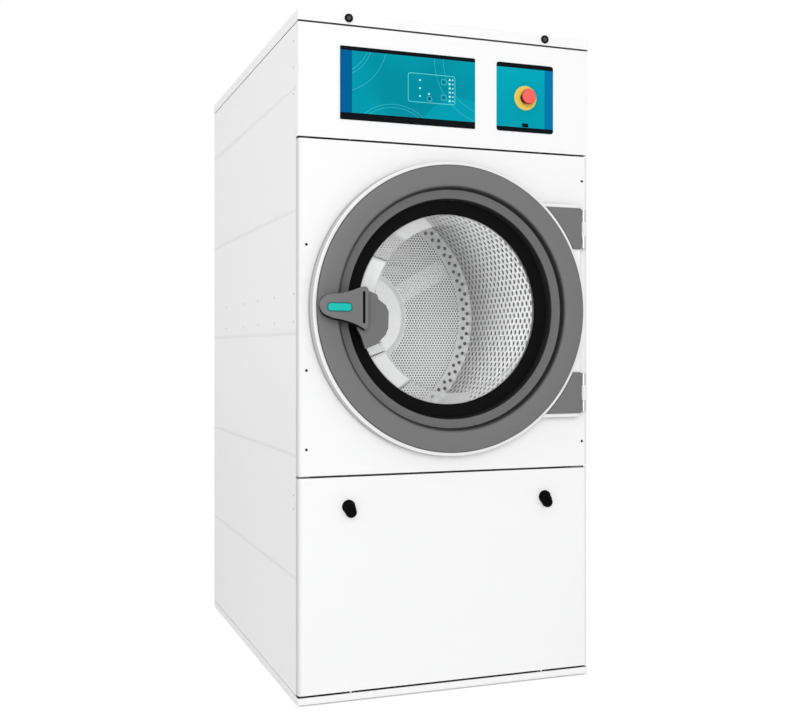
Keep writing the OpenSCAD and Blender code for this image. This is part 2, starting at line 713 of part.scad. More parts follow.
module fan_impeller() color("silver") at_front() {
    rod_y(fan_shaft_r, [fan_y[1] - 60, fan_y[1] + 65], fan_x, fan_z);
    rod_y(fan_shaft_r + 16, [fan_y[1] - 78, fan_y[1] - 19], fan_x, fan_z);
    rod_y(impeller_r, [fan_y[1] - 24, fan_y[1] - 20], fan_x, fan_z);
    for (i = [0:blade_count - 1]) translate([fan_x, 0, fan_z]) rotate([0, i * 360 / blade_count, 0])
        block([70, impeller_r - 2], [fan_y[0] + 20, fan_y[1] - 22], [-1, 1]);
}

module exhaust_duct() color("silver") at_front() difference() {
    shell(duct_x, duct_y, [spigot_z - 105, fan_z + fan_r], duct_t);
    block([duct_x[0] - cut, duct_x[0] + duct_t + cut], fan_y + [duct_t, -duct_t],
        throat_z + [duct_t, -duct_t]);
    rod_y(spigot_r + seat, [duct_y[1] - duct_t - cut, duct_y[1] + cut], spigot_x, spigot_z);
}
module exhaust_spigot() color("silver") at_front() {
    tube_y(spigot_r, spigot_r - 1.5, [cab_d - 8, cab_d + spigot_len], spigot_x, spigot_z);
    tube_y(spigot_r + 22, spigot_r - 0.5, [cab_d, cab_d + 2], spigot_x, spigot_z);
}

module drum_motor() color("slategray") at_front() difference() {
    union() {
        rod_y(motor_r, motor_y, motor_x, motor_z);
        block([motor_x - 70, motor_x + 70], motor_y + [10, -15], from(motor_z - motor_r, [-8, 30]));
        block([motor_x - 35, motor_x + 35], motor_y + [30, -30], from(motor_z + motor_r, [-12, 32]));
    }
    rod_y(motor_shaft_r + running, [motor_y[0] - cut, motor_y[0] + 90], motor_x, motor_z);
}
module drum_pulley() color("dimgray") at_front() difference() {
    union() {
        rod_y(pulley_r, [belt_y - 15, belt_y + 15], 0, door_z);
        for (y = [belt_y - 18, belt_y + 15]) rod_y(pulley_r + 4, [y, y + 3], 0, door_z);
    }
    for (y = [belt_y - 19, belt_y + 6]) tube_y(pulley_r - 12, shaft_r + 20, [y, y + 13], 0, door_z);
    rod_y(shaft_r + running, [belt_y - 30, belt_y + 30], 0, door_z);
}
module motor_pulley() color("dimgray") at_front() {
    rod_y(motor_pulley_r, [belt_y - 15, belt_y + 15], motor_x, motor_z);
    for (y = [belt_y - 18, belt_y + 15]) rod_y(motor_pulley_r + 4, [y, y + 3], motor_x, motor_z);
    rod_y(motor_shaft_r, [belt_y - 18, motor_y[0] + 85], motor_x, motor_z);
}
// The belt's loop lies half a millimetre off both pulleys
module belt_loop(grow) hull() {
    translate([0, door_z]) circle(pulley_r + 0.5 + grow);
    translate([motor_x, motor_z]) circle(motor_pulley_r + 0.5 + grow);
}
module drive_belt() color("black") at_front()
    along_y([belt_y - belt_w / 2, belt_y + belt_w / 2]) difference() {
        belt_loop(belt_t);
        belt_loop(0);
    }

// Sheet box on the tray, its lid, and five switching devices inside
module electrical_box() {
    wall = 1.5;
    color("silver") at_front() difference() {
        block(box_x, box_y, box_z);
        block(box_x + [wall, -wall], box_y + [wall, -wall], box_z + [wall, cut]);
    }
    color("lightgray") at_front() block(box_x, box_y, [box_z[1], box_z[1] + wall]);
    color("beige") at_front() for (i = [0:4])
        block(from(box_x[0] + i * 56, [20, 65]), from(box_y[0], [90, 170]), from(box_z[0], [wall, 80]));
}
// Threaded body through the rear panel, with a cap nut behind and a lock nut inside
module cable_gland() color("black") at_front() difference() {
    union() {
        rod_y(gland_r, [cab_d - 12, cab_d + 28], gland_x, gland_z);
        for (nut = [[cab_d + 10, 10], [cab_d - sheet, 8]])
            translate([gland_x, nut[0], gland_z]) rotate([90, 0, 0])
                cylinder(r = gland_r + 5, h = nut[1], $fn = 6);
    }
    rod_y(cable_r, [cab_d - 20, cab_d + 40], gland_x, gland_z);
}

// Screws of the door panel and rivets of the side panels
module case_screws() {
    color("black") at_front() for (s = screw_at) {
        rod_y(3.4, [-1.6, 0], s[0], door_z + s[1]);
        rod_y(1.8, [-1, 9], s[0], door_z + s[1]);
    }
    color("gray") at_front() for (side = [-1, 1], z = rivet_z) mirror([side > 0 ? 0 : 1, 0, 0])
        rod_x(3, [side_x, side_x + 0.8], 45, z);
}

// Fixed half of each hinge: a plate on the door panel, two knuckles and the pin
module hinge_brackets() for (side = [-1, 1]) {
    z = door_z + side * hinge_z;
    color("silver") at_front() {
        difference() {
            union() {
                block([hinge_x - 6, hinge_x + 20], [-3, 0], [z - knuckle, z + knuckle]);
                for (low = [z - knuckle, z + leaf_z + seat]) {
                    rod_z(knuckle_r, [low, low + knuckle - leaf_z - seat], hinge_x, -hinge_y);
                    block([hinge_x - 3, hinge_x + 3], [-hinge_y, -1], [low, low + knuckle - leaf_z - seat]);
                }
            }
            rod_z(hinge_pin_r + running, [z - knuckle - cut, z + knuckle + cut], hinge_x, -hinge_y);
        }
        rod_z(hinge_pin_r, [z - knuckle - 2, z + knuckle + 2], hinge_x, -hinge_y);
    }
}
// Moving half of each hinge: a leaf inside the pan and one knuckle between the fixed two
module hinge_leaves() color("silver") at_front() for (side = [-1, 1]) {
    z = door_z + side * hinge_z;
    leaf = [pan_sheet - pan_low, pan_sheet - pan_low + 4];
    difference() {
        union() {
            block([hinge_x - 54, hinge_x], leaf, [z - leaf_z, z + leaf_z]);
            rod_z(knuckle_r, [z - leaf_z, z + leaf_z], hinge_x, -hinge_y);
        }
        rod_z(hinge_pin_r + running, [z - leaf_z - cut, z + leaf_z + cut], hinge_x, -hinge_y);
    }
}

// Door outline seen from the front: a disc cut straight by the hinges, and a block beside it
module door_disc(r, right) intersection() {
    translate([0, door_z]) circle(r);
    translate([-pan_r, door_z - pan_r]) square([pan_r + right, 2 * pan_r]);
}
module door_block(inset) polygon(rounded([150, pan_right - inset],
    [door_z - pan_half + inset, door_z + pan_half - inset], 9 - inset));
module door_pan() color("white") at_front() difference() {
    union() {
        along_y([-pan_front, -4]) door_disc(pan_r, pan_right);
        along_y([-pan_low, -4]) door_block(0);
    }
    along_y([pan_sheet - pan_front, 0]) door_disc(pan_r - pan_sheet, pan_right - pan_sheet);
    along_y([pan_sheet - pan_low, 0]) door_block(pan_sheet);
    rod_y(ring_in_r + 3, [-pan_front - cut, 0], 0, door_z);
    for (side = [-1, 1])
        block([pan_right - 5, pan_right + 5], [pan_sheet - pan_low - 0.1, pan_sheet - pan_low + 4.3],
            from(door_z + side * hinge_z, [-leaf_z - 0.5, leaf_z + 0.5]));
}
module door_ring() color("#787878") at_front() turned([
    [ring_r, -pan_front], [ring_r, -pan_front - ring_t + 1.5], [ring_r - 1.5, -pan_front - ring_t],
    [ring_in_r + 1.5, -pan_front - ring_t], [ring_in_r, -pan_front - ring_t + 1.5], [ring_in_r - 2, -24],
    [hole_r - 13, -22], [hole_r - 17, 5], [hole_r - 14, 5], [hole_r - 10, -19],
    [ring_in_r + 2.7, -21], [ring_in_r + 2.7, -pan_front]]);
module hinge_covers() color("#707070") at_front() for (side = [-1, 1])
    along_y([-pan_low - 6, -pan_low]) difference() {
        polygon(rounded([pan_right - 130, pan_right],
            [door_z + side * hinge_z - hinge_h / 2, door_z + side * hinge_z + hinge_h / 2], 3));
        translate([0, door_z]) circle(pan_r + seat);
    }
module glass_gasket() color("#1c1c1c") at_front() turned([
    [glass_r, 6.5], [liner_r - 9, 5.3], [liner_r - 2.3, 5.3], [liner_r - 2.3, 21.7], [glass_r + 2, 21.7],
    [glass_r + 2, 9 + glass_t + seat], [glass_r + 20 + seat, 9 + glass_t + seat],
    [glass_r + 20 + seat, 9 - seat], [glass_r, 9 - seat]]);
module door_glass() color("lightblue", 0.3) at_front() turned(concat(
    [[0, -dome_front]],
    arc([dome_r - 8, 8 - dome_front], 8, 270, 330, 5),
    [[glass_r - 0.5, 9], [glass_r + 20, 9], [glass_r + 20, 9 + glass_t], [glass_r - 7, 9 + glass_t]],
    [[dome_r - 8, glass_t + 3 - dome_front], [dome_r - 12, glass_t - dome_front],
    [0, glass_t - dome_front]]));
// Inner sheet of the door: plate, tube round the gasket, and the latch nose
module door_liner() color("lightgray") at_front() {
    difference() {
        along_y([-12, -10]) union() {
            door_disc(pan_r - pan_sheet - seat, pan_right - pan_sheet - seat);
            door_block(pan_sheet + seat);
        }
        rod_y(liner_r - 0.5, [-20, 0], 0, door_z);
    }
    turned([[liner_r - 2, -12], [liner_r, -12], [liner_r, 24], [glass_r + 20, 24], [glass_r + 20, 22],
        [liner_r - 2, 22]]);
    block(from(-nose_x, [-nose_w / 2, nose_w / 2]), [-10.5, 14], from(door_z, [-nose_h / 2, nose_h / 2]));
}
module door_seal() color("#303030") at_front() tube_y(seal_r, seal_r - seal_w, [-10, -seat], 0, door_z);
// Behind the panel's slot: a bracket with two rollers that hold the nose
module door_catch() color("silver") at_front() {
    high = nose_h / 2 + 21.5;
    difference() {
        block([-nose_x - 17, 17 - nose_x], [sheet, 30], [door_z - high, door_z + high]);
        block([-nose_x - 15, 15 - nose_x], [sheet - cut, 28], [door_z + 2 - high, door_z - 2 + high]);
    }
    for (side = [-1, 1]) rod_x(5, [-nose_x - 15, 15 - nose_x], 9, door_z + side * (nose_h / 2 + 5.5));
}

// Half-octagon plate over the edge of the glass, its foot on the ring, and two knuckles for the lever
module handle_housing() color("#6a6a6a") at_front() {
    plate = [-52, -40];
    along_y(plate) translate([lever_x + 244, lever_z]) polygon([[-262, 36], [-262, -50], [-252, -69],
        [-242, -99], [-215, -89], [-190, -65], [-183, -48], [-182, -8], [-189, 8], [-208, 22], [-212, 34],
        [-232, 42]]);
    block([lever_x - 53, lever_x - 6], plate, [lever_z - 28, lever_z + 32]);
    block([lever_x - 53, lever_x - 39], [-41, -24], [door_z - 20, door_z + 20]);
    for (z = [[lever_z - 46.5, lever_z - 26.5], [lever_z + 27.5, lever_z + 47.5]]) difference() {
        union() {
            rod_z(lever_hub_r, z, lever_x, -lever_y);
            block([lever_x - 4, lever_x + 4], [-lever_y, -51], z);
        }
        rod_z(lever_pin_r + running, [z[0] - cut, z[1] + cut], lever_x, -lever_y);
    }
    rod_z(lever_pin_r, [lever_z - 48, lever_z + 49], lever_x, -lever_y);
}
// Outline of the lever from the front, round at its free end and flared towards the pin
module lever_outline() {
    top = [[-251, 53], [-268, 47], [-292, 39], [-308, 35], [-341, 32]];
    bottom = [[-346, -23], [-308, -29], [-293, -33], [-268, -42], [-251, -53]];
    translate([lever_x + 244, lever_z]) polygon(concat([[-241, 42], [-244, 50]], top,
        arc([-337, 5], 26, 100, 250, 12), bottom, [[-244, -50], [-241, -44]]));
}
// Plate with a slot for the fingers' light, a thicker grip, and a hub between the housing's knuckles
module handle_lever() color("#6c6c6c") at_front() {
    hub = [lever_z - 26, lever_z + 27];
    difference() {
        along_y([-lever_front, -lever_y - lever_hub_r - 0.5]) lever_outline();
        block([lever_x - 10.5, lever_x - 6.5], [-lever_front - cut, -lever_y], [lever_z - 37, lever_z + 39]);
    }
    along_y([-lever_front + 4, grip_t - lever_front]) intersection() {
        lever_outline();
        translate([lever_x - 156, lever_z - 60]) square([138, 120]);
    }
    difference() {
        union() {
            rod_z(lever_hub_r, hub, lever_x, -lever_y);
            block([lever_x - 4, lever_x + 4], [-lever_y - lever_hub_r - 1, -lever_y], hub);
        }
        rod_z(lever_pin_r + running, [hub[0] - cut, hub[1] + cut], lever_x, -lever_y);
    }
}
module lever_badge() color("turquoise") at_front() along_y([-handle_reach, -lever_front])
    polygon(rounded([lever_x - 101, lever_x - 39], [lever_z - 10, lever_z + 12], 5));

module drum_shell() color("silver") at_front() {
    tube_y(drum_r + drum_sheet, drum_r, [drum_front, drum_back_y - drum_sheet], 0, door_z);
    turned([[mouth_r, drum_front - 6], [mouth_r + 2, drum_front - 6], [mouth_r + 2, drum_front],
        [drum_r + drum_sheet / 2, drum_front], [drum_r + drum_sheet / 2, drum_front + drum_sheet],
        [mouth_r, drum_front + drum_sheet]]);
}
module drum_back() color("silver") at_front()
    rod_y(drum_r + drum_sheet, [drum_back_y - drum_sheet, drum_back_y], 0, door_z);
// Two lifters face each other across the drum
module drum_lifters() color("silver") at_front() {
    foot_angle = asin(lifter_w / 2 / drum_r);
    for (turn = [110, 290]) along_y([drum_front + 20, drum_back_y - 12]) translate([0, door_z]) rotate(turn)
        polygon(concat(arc([0, 0], drum_r - seat, -foot_angle, foot_angle, 8),
            arc([drum_r - lifter_h + 20, 0], 20, 60, 300, 8)));
}
module drum_shaft() color("gray") at_front() {
    rod_y(shaft_r, [drum_back_y, belt_y + 20], 0, door_z);
    rod_y(shaft_r + 90, [drum_back_y, drum_back_y + 12], 0, door_z);
    for (turn = [90, 210, 330]) translate([0, 0, door_z]) rotate([0, turn, 0])
        block([60, drum_r - 45], [drum_back_y, drum_back_y + 8], [-30, 30]);
}

// A quarter-turn lock in the cover's lip; its cam points to the middle, and side is -1 for the left one
module cover_lock(side) {
    x = side * lock_x;
    color("#202020") at_front() {
        difference() {
            rod_y(lock_r, [-cover_proud - 3, -cover_proud], x, lock_z);
            rod_y(lock_r - 5, [-cover_proud - 4, -cover_proud - 2.5], x, lock_z);
            block([x - 1, x + 1], [-cover_proud - 4, -cover_proud - 1], [lock_z - 4, lock_z + 4]);
        }
        rod_y(lock_r - 1.8, [-cover_proud - 0.5, cam_y], x, lock_z);
        translate([x, 0, lock_z]) mirror([side < 0 ? 0 : 1, 0, 0])
            block([-4, cam_len], [cam_y - 0.5, cam_y + 2.5], [-4, 4]);
    }
}
module left_cover_lock() cover_lock(-1);
module right_cover_lock() cover_lock(1);

// Removable panel: each tab has a round shoulder on the plinth, about which the panel tilts
module service_panel() color("white") at_front() difference() {
    thick = [tilt_y - sheet / 2, tilt_y + sheet / 2];
    union() {
        folded_panel([service_z, service_top]);
        for (x = [-tab_x, tab_x]) {
            rod_x(sheet / 2, [x - tab_w, x + tab_w], tilt_y, tilt_z);
            block([x - tab_w, x + tab_w], thick, [tilt_z, service_z + sheet / 2]);
            block([x - tab_w / 2, x + tab_w / 2], thick, [plinth_top - 7.5, tilt_z]);
        }
    }
    for (x = [-latch_x, latch_x]) rod_y(latch_shaft_r + seat, [-cut, sheet + cut], x, latch_z);
}
// A service latch: round base, hanging lobe, shaft and a tongue that points to the middle
module service_latch(side) {
    x = side * latch_x;
    color("#151515") at_front() {
        rod_y(latch_r, [-4.3, -seat], x, latch_z);
        rod_y(latch_lobe_r - 1.5, [-16, -4], x, latch_z);
        rod_y(latch_lobe_r, [-17, -4], x, latch_z - 13);
        rod_y(latch_shaft_r, [-1, tongue_y + 2.5], x, latch_z);
        translate([x, 0, latch_z]) mirror([side < 0 ? 0 : 1, 0, 0])
            block([-latch_shaft_r, tongue_len], [tongue_y, tongue_y + 2.5], [-latch_shaft_r, latch_shaft_r]);
    }
}
module left_service_latch() service_latch(-1);
module right_service_latch() service_latch(1);

base_frame();
levelling_feet();
frame_members();
left_side_panel();
right_side_panel();
rear_panel();
top_cover();
control_panel();
panel_windows();
keypad_board();
stop_collar();
door_panel();
front_bulkhead();
felt_seal();
rear_bulkhead();
bearing_housing();
shaft_bearings();
heater_box();
heater_elements();
lint_chamber();
lint_filter();
fan_housing();
fan_motor();
exhaust_duct();
exhaust_spigot();
drum_motor();
drive_belt();
electrical_box();
cable_gland();
hinge_brackets();
door_catch();
case_screws();
door_pan();
door_ring();
hinge_covers();
hinge_leaves();
glass_gasket();
door_glass();
door_liner();
door_seal();
handle_housing();
handle_lever();
lever_badge();
drum_shell();
drum_back();
drum_lifters();
drum_shaft();
drum_pulley();
motor_pulley();
fan_impeller();
stop_stem();
stop_head();
left_cover_lock();
right_cover_lock();
service_panel();
left_service_latch();
right_service_latch();
start_key();
up_key();
down_key();
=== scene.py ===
import math

import bmesh
import bpy
from mathutils import Matrix, Vector


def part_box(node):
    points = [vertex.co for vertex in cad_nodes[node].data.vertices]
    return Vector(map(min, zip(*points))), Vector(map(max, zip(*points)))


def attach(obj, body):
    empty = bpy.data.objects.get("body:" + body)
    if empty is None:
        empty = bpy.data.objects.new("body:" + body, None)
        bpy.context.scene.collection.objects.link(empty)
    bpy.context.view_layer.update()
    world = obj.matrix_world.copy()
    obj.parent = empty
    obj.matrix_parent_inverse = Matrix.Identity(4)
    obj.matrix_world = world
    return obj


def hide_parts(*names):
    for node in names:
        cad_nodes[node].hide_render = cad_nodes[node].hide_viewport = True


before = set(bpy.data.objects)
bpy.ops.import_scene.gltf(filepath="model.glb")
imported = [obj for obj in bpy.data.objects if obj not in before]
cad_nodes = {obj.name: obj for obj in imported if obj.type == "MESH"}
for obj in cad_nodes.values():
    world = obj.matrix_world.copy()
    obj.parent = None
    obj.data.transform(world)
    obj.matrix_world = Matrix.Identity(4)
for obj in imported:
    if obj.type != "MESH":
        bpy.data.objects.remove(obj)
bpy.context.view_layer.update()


# The camera stands to the left of the door at half the cabinet's height. It is level, with a normal lens, so that the
# upright edges of the cabinet stay upright in the picture.
def linked(name, data):
    made = bpy.data.objects.new(name, data)
    bpy.context.scene.collection.objects.link(made)
    return made


camera_lens = bpy.data.cameras.new("camera")
camera_lens.lens = 49.77
camera_lens.shift_x = -0.01575
camera_lens.shift_y = -0.0114
camera = linked("camera", camera_lens)
camera.location = (-1.066, -3.168, 0.864)
camera.rotation_euler = (math.radians(90), 0, math.radians(-20.3))
bpy.context.scene.camera = camera
bpy.context.scene.view_settings.view_transform = "Standard"


# A white studio: an even sky, one wide soft lamp far behind the camera and a weak one above on the left, and a white
# floor that keeps the cabinet's shadow and runs into the white background.
def node(tree, kind, inputs=None, **settings):
    made = tree.nodes.new(kind)
    for key, value in settings.items():
        setattr(made, key, value)
    for key, value in (inputs or {}).items():
        if isinstance(value, Wire):
            tree.links.new(value.socket, made.inputs[key])
        else:
            made.inputs[key].default_value = value
    return made


def wire(tree, kind, inputs=None, output=0, **settings):
    return Wire(node(tree, kind, inputs, **settings).outputs[output])


class Wire:
    """One value in a node tree. Python's signs add Math nodes behind it, and | keeps the larger of two values."""

    def __init__(self, socket):
        self.socket, self.tree = socket, socket.id_data

    def maths(self, operation, second=0.0, third=0.0):
        return wire(self.tree, "ShaderNodeMath", {0: self, 1: second, 2: third}, operation=operation)

    def __add__(self, other):
        return self.maths("ADD", other)

    def __sub__(self, other):
        return self.maths("SUBTRACT", other)

    def __rsub__(self, other):
        return self.maths("MULTIPLY_ADD", -1.0, other)

    def __mul__(self, other):
        return self.maths("MULTIPLY", other)

    def __truediv__(self, other):
        return self.maths("DIVIDE", other)

    def __or__(self, other):
        return self.maths("MAXIMUM", other)

    def __abs__(self):
        return self.maths("ABSOLUTE")


class Finish:
    """A material and the inputs of its shader, which can be fed from nodes."""

    def __init__(self, name, colour, roughness, metallic=0.0, coat=0.0, gloss=0.5):
        self.material = bpy.data.materials.new(name)
        self.material.use_nodes = True
        self.material.diffuse_color = (*colour, 1)
        self.tree = self.material.node_tree
        self.inputs = self.tree.nodes["Principled BSDF"].inputs
        for label, value in (("Base Color", (*colour, 1)), ("Roughness", roughness), ("Metallic", metallic),
                             ("Coat Weight", coat), ("Specular IOR Level", gloss)):
            self.inputs[label].default_value = value

    def feed(self, label, value):
        self.tree.links.new(value.socket, self.inputs[label])


sky = bpy.data.worlds.new("white_sky")
sky.use_nodes = True
bpy.context.scene.world = sky
ray = sky.node_tree.nodes.new("ShaderNodeLightPath").outputs
seen = Wire(ray["Is Camera Ray"]) | Wire(ray["Is Transmission Ray"]) | Wire(ray["Is Glossy Ray"])
backdrop = sky.node_tree.nodes["Background"].inputs
backdrop["Color"].default_value = (1, 1, 1, 1)
sky.node_tree.links.new((seen * 0.29 + 0.71).socket, backdrop["Strength"])

for lamp_name, lamp_place, lamp_size, lamp_power in (
    ("front_softbox", (-3.0, -9.0, 3.0), 4.0, 304),
    ("left_softbox", (-3.4, -1.2, 3.2), 2.2, 13),
):
    lamp_light = bpy.data.lights.new(lamp_name, "AREA")
    lamp_light.size = lamp_size
    lamp_light.energy = lamp_power
    lamp = linked(lamp_name, lamp_light)
    lamp.location = lamp_place
    lamp.rotation_euler = (Vector((0, 0, 0.95)) - lamp.location).to_track_quat("-Z", "Y").to_euler()

# A small lamp inside the drum, as a photographer hides one, so that the steel shows through the glass.
inner_light = bpy.data.lights.new("drum_lamp", "POINT")
inner_light.energy = 3.9
inner_light.shadow_soft_size = 0.12
inner_lamp = linked("drum_lamp", inner_light)
inner_lamp.location = (0, -0.28, 0.99)
inner_lamp.visible_camera = False
inner_lamp.visible_transmission = False
inner_lamp.visible_glossy = False

floor_mesh = bpy.data.meshes.new("floor")
floor_mesh.from_pydata([(-14, -14, 0), (14, -14, 0), (14, 14, 0), (-14, 14, 0)], [], [(0, 1, 2, 3)])
floor = linked("floor", floor_mesh)
floor_paint = Finish("floor_paint", (0.93, 0.93, 0.93), 0.9)
floor_paint.inputs["Emission Color"].default_value = (1, 1, 1, 1)
floor_paint.feed("Emission Strength", wire(floor_paint.tree, "ShaderNodeLightPath", output="Is Camera Ray") * 0.31)
floor_mesh.materials.append(floor_paint.material)


# The outer cabinet is folded sheet steel, about 1.5 mm thick, with a baked white powder coat. Close up the coat has a
# faint orange-peel skin and the least change of tone from panel to panel.
def shader_group(name, takes, gives):
    tree = bpy.data.node_groups.new(name, "ShaderNodeTree")
    for label, (kind, value) in takes.items():
        socket = tree.interface.new_socket(label, in_out="INPUT", socket_type="NodeSocket" + kind)
        socket.default_value = value
    for label, kind in gives.items():
        tree.interface.new_socket(label, in_out="OUTPUT", socket_type="NodeSocket" + kind)
    given, result = tree.nodes.new("NodeGroupInput").outputs, tree.nodes.new("NodeGroupOutput").inputs
    return tree, {label: Wire(given[label]) for label in takes}, result


def spot(tree):
    return wire(tree, "ShaderNodeTexCoord", output="Object")


def clouds(tree, scale, detail=2.0):
    return wire(tree, "ShaderNodeTexNoise", {"Vector": spot(tree), "Scale": scale, "Detail": detail})


def tinted(colour, shade):
    return wire(shade.tree, "ShaderNodeHueSaturation", {"Value": shade, "Color": colour})


def bumped(finish, height, depth):
    bump = wire(finish.tree, "ShaderNodeBump", {"Height": height, "Strength": 1.0, "Distance": depth})
    finish.feed("Normal", bump)


def surfaced(group, name, colour, roughness, metallic, coat, gloss, depth, values):
    made = Finish(name, colour, roughness, metallic, coat, gloss)
    surface = node(made.tree, "ShaderNodeGroup", {"Colour": (*colour, 1), **values}, node_tree=group).outputs
    made.feed("Base Color", Wire(surface["Colour"]))
    if "Roughness" in surface:
        made.feed("Roughness", Wire(surface["Roughness"]))
    if "Height" in surface:
        bumped(made, Wire(surface["Height"]), depth)
    return made


skin, given, result = shader_group(
    "moulded_skin",
    {"Colour": ("Color", (0.8, 0.8, 0.8, 1)), "Grain": ("Float", 400), "Patch": ("Float", 3),
     "Spread": ("Float", 0.03)},
    {"Colour": "Color", "Height": "Float"},
)
shade = (clouds(skin, given["Patch"], 3.0) - 0.5) * given["Spread"] + 1.0
skin.links.new(tinted(given["Colour"], shade).socket, result["Colour"])
skin.links.new(clouds(skin, given["Grain"]).socket, result["Height"])


def skinned(name, colour, roughness, grain, patch, spread, depth, metallic=0.0, coat=0.0, gloss=0.3):
    values = {"Grain": grain, "Patch": patch, "Spread": spread}
    return surfaced(skin, name, colour, roughness, metallic, coat, gloss, depth, values)


def dress(finish, *names):
    for name in names:
        cad_nodes[name].data.materials.clear()
        cad_nodes[name].data.materials.append(finish.material)


def coated(name):
    return skinned(name, (0.865, 0.866, 0.868), 0.42, 420, 2.2, 0.012, 0.00004, gloss=0.35)


powder_coat = coated("powder_coat")
dress(powder_coat, "rear_panel", "hinge_leaves")


# The folded returns of the front panels and the plinth are painted near black deep in each joint, a painted shade that
# makes the joints between the panels read as black lines. The upright edges of the door panel and the service panel
# are rolled to a wide radius, and they carry painted shade that grows darker away from the front face.
front_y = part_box("door_panel")[0].y


def at(x, y, z):
    return Vector((x / 1000, front_y + y / 1000, z / 1000))


def split(vector):
    return [Wire(socket) for socket in node(vector.tree, "ShaderNodeSeparateXYZ", {0: vector}).outputs]


def places(tree):
    return split(spot(tree))


def inside(distance, radius, blur=0.0002):
    return wire(distance.tree, "ShaderNodeClamp", {0: (radius / 1000 - distance) / blur + 0.5})


def outside(distance, radius, blur=0.0002):
    return 1.0 - inside(distance, radius, blur)


def ramp(value, low, high):
    span = {"Value": value, "From Min": low, "From Max": high}
    return wire(value.tree, "ShaderNodeMapRange", span, interpolation_type="SMOOTHSTEP")


mix_mask, mix_first, mix_second, mix_colour = 0, 6, 7, 2


def blended(mask, first, second):
    first, second = [tone if isinstance(tone, Wire) else (*tone, 1) for tone in (first, second)]
    tones = {mix_mask: mask, mix_first: first, mix_second: second}
    return wire(mask.tree, "ShaderNodeMix", tones, mix_colour, data_type="RGBA")


def by_depth(finish, *tones):
    first, last = tones[0][0], tones[-1][0]
    span = {"Value": places(finish.tree)[1], "From Min": at(0, first, 0).y, "From Max": at(0, last, 0).y}
    scale = node(finish.tree, "ShaderNodeValToRGB", {0: wire(finish.tree, "ShaderNodeMapRange", span)})
    bands = scale.color_ramp.elements
    for band, (_, tone) in zip(bands, (tones[0], tones[-1])):
        band.color = (tone, tone, tone, 1)
    for place, tone in tones[1:-1]:
        bands.new((place - first) / (last - first)).color = (tone, tone, tone, 1)
    return Wire(scale.outputs[0])


def colour_of(finish):
    return Wire(finish.inputs["Base Color"].links[0].from_socket)


def shaded(finish, tone):
    finish.feed("Base Color", tinted(colour_of(finish), tone))


def painted(finish, mask, colour):
    finish.feed("Base Color", blended(mask, colour_of(finish), colour))


# Painted shade in the joints: where it starts and ends behind the front face, and how far it reaches to each side.
gap_shade_black, gap_shade_start, gap_shade_end, gap_shade_half = (0.01, 0.01, 0.01), 2.2, 40, 396.2
tab_x, tab_half, fold_r, roll_shade_start, roll_shade_end = 0.262, 2.5, 0.3, 0.384, 0.39
edge_shade_height, edge_shade_depth = 1.1, 3
for panel, low, high in (("control_panel", 1386, 1664.5), ("door_panel", 558.5, 1381), ("service_panel", 25.5, 553.5),
                         ("base_frame", -9, 20.5)):
    coat = coated(panel + "_coat")
    across, depth, up = places(coat.tree)
    across, depth = abs(across), depth - front_y
    if panel in ("door_panel", "service_panel"):
        # Painted shade on the rolled edge, darker further back.
        rolled_shade = by_depth(coat, (0, 0.96), (0.4, 0.92), (1.5, 0.84), (4, 0.75), (9, 0.68), (20, 0.6)) - 1.0
        shaded(coat, ramp(across, roll_shade_start, roll_shade_end) * rolled_shade + 1.0)
    beside_tabs = outside(abs(across - tab_x), tab_half)
    # Painted shade deep in the joints. On the control panel it also runs along the top front edge, under the cover.
    gap_shade = inside(up, low + fold_r) * beside_tabs | outside(up, high - fold_r)
    gap_shade = gap_shade * outside(depth, gap_shade_start) * inside(depth, gap_shade_end) * inside(across, gap_shade_half)
    if panel == "control_panel":
        gap_shade = gap_shade | outside(up, high - edge_shade_height) * inside(depth, edge_shade_depth)
    painted(coat, gap_shade, gap_shade_black)
    dress(coat, panel)


# The top cover is a tray turned upside down. Its front lip is painted near black at the joint with the panel below,
# a painted shade like the one on that panel's top edge.
cover_coat = coated("cover_coat")
_, depth, up = places(cover_coat.tree)
painted(cover_coat, inside(up, 1667.6) * inside(depth - front_y, edge_shade_depth), gap_shade_black)
dress(cover_coat, "top_cover")


# The side panels are stiffened by five shallow swages across their whole depth, which carry painted shade as fine grey
# lines. Their inner face is painted dark grey, a painted shade for the inside of the cabinet.
swage_pitch, first_swage = 0.3002, 0.307
side_coat = coated("side_coat")
across, _, up = places(side_coat.tree)
swage = (up - first_swage) * (1 / swage_pitch)
swage = abs(swage - swage.maths("ROUND")) * swage_pitch
# Painted shade: a fine grey line on each swage, and a dark grey inner face.
shaded(side_coat, inside(swage, 4, 0.003) * -0.09 + 1.0)
painted(side_coat, inside(abs(across), 395.7), (0.1, 0.1, 0.105))
dress(side_coat, "left_side_panel", "right_side_panel")


# The posts, rails, tray, bulkheads and ducts are galvanised sheet, folded and spot welded. Its zinc shows the crystal
# patches, some 20 mm across, that hot dipping leaves.
spangle, given, result = shader_group(
    "zinc_spangle",
    {"Colour": ("Color", (0.6, 0.6, 0.6, 1)), "Patch": ("Float", 50), "Spread": ("Float", 0.2),
     "Rough": ("Float", 0.35)},
    {"Colour": "Color", "Roughness": "Float"},
)
cell = wire(spangle, "ShaderNodeTexVoronoi", {"Vector": spot(spangle), "Scale": given["Patch"]}, "Color")
tone = wire(spangle, "ShaderNodeSeparateColor", {0: cell})
shade = (tone - 0.5) * given["Spread"] + 1.0
spangle.links.new(tinted(given["Colour"], shade).socket, result["Colour"])
spangle.links.new((tone * 0.2 + given["Rough"]).socket, result["Roughness"])

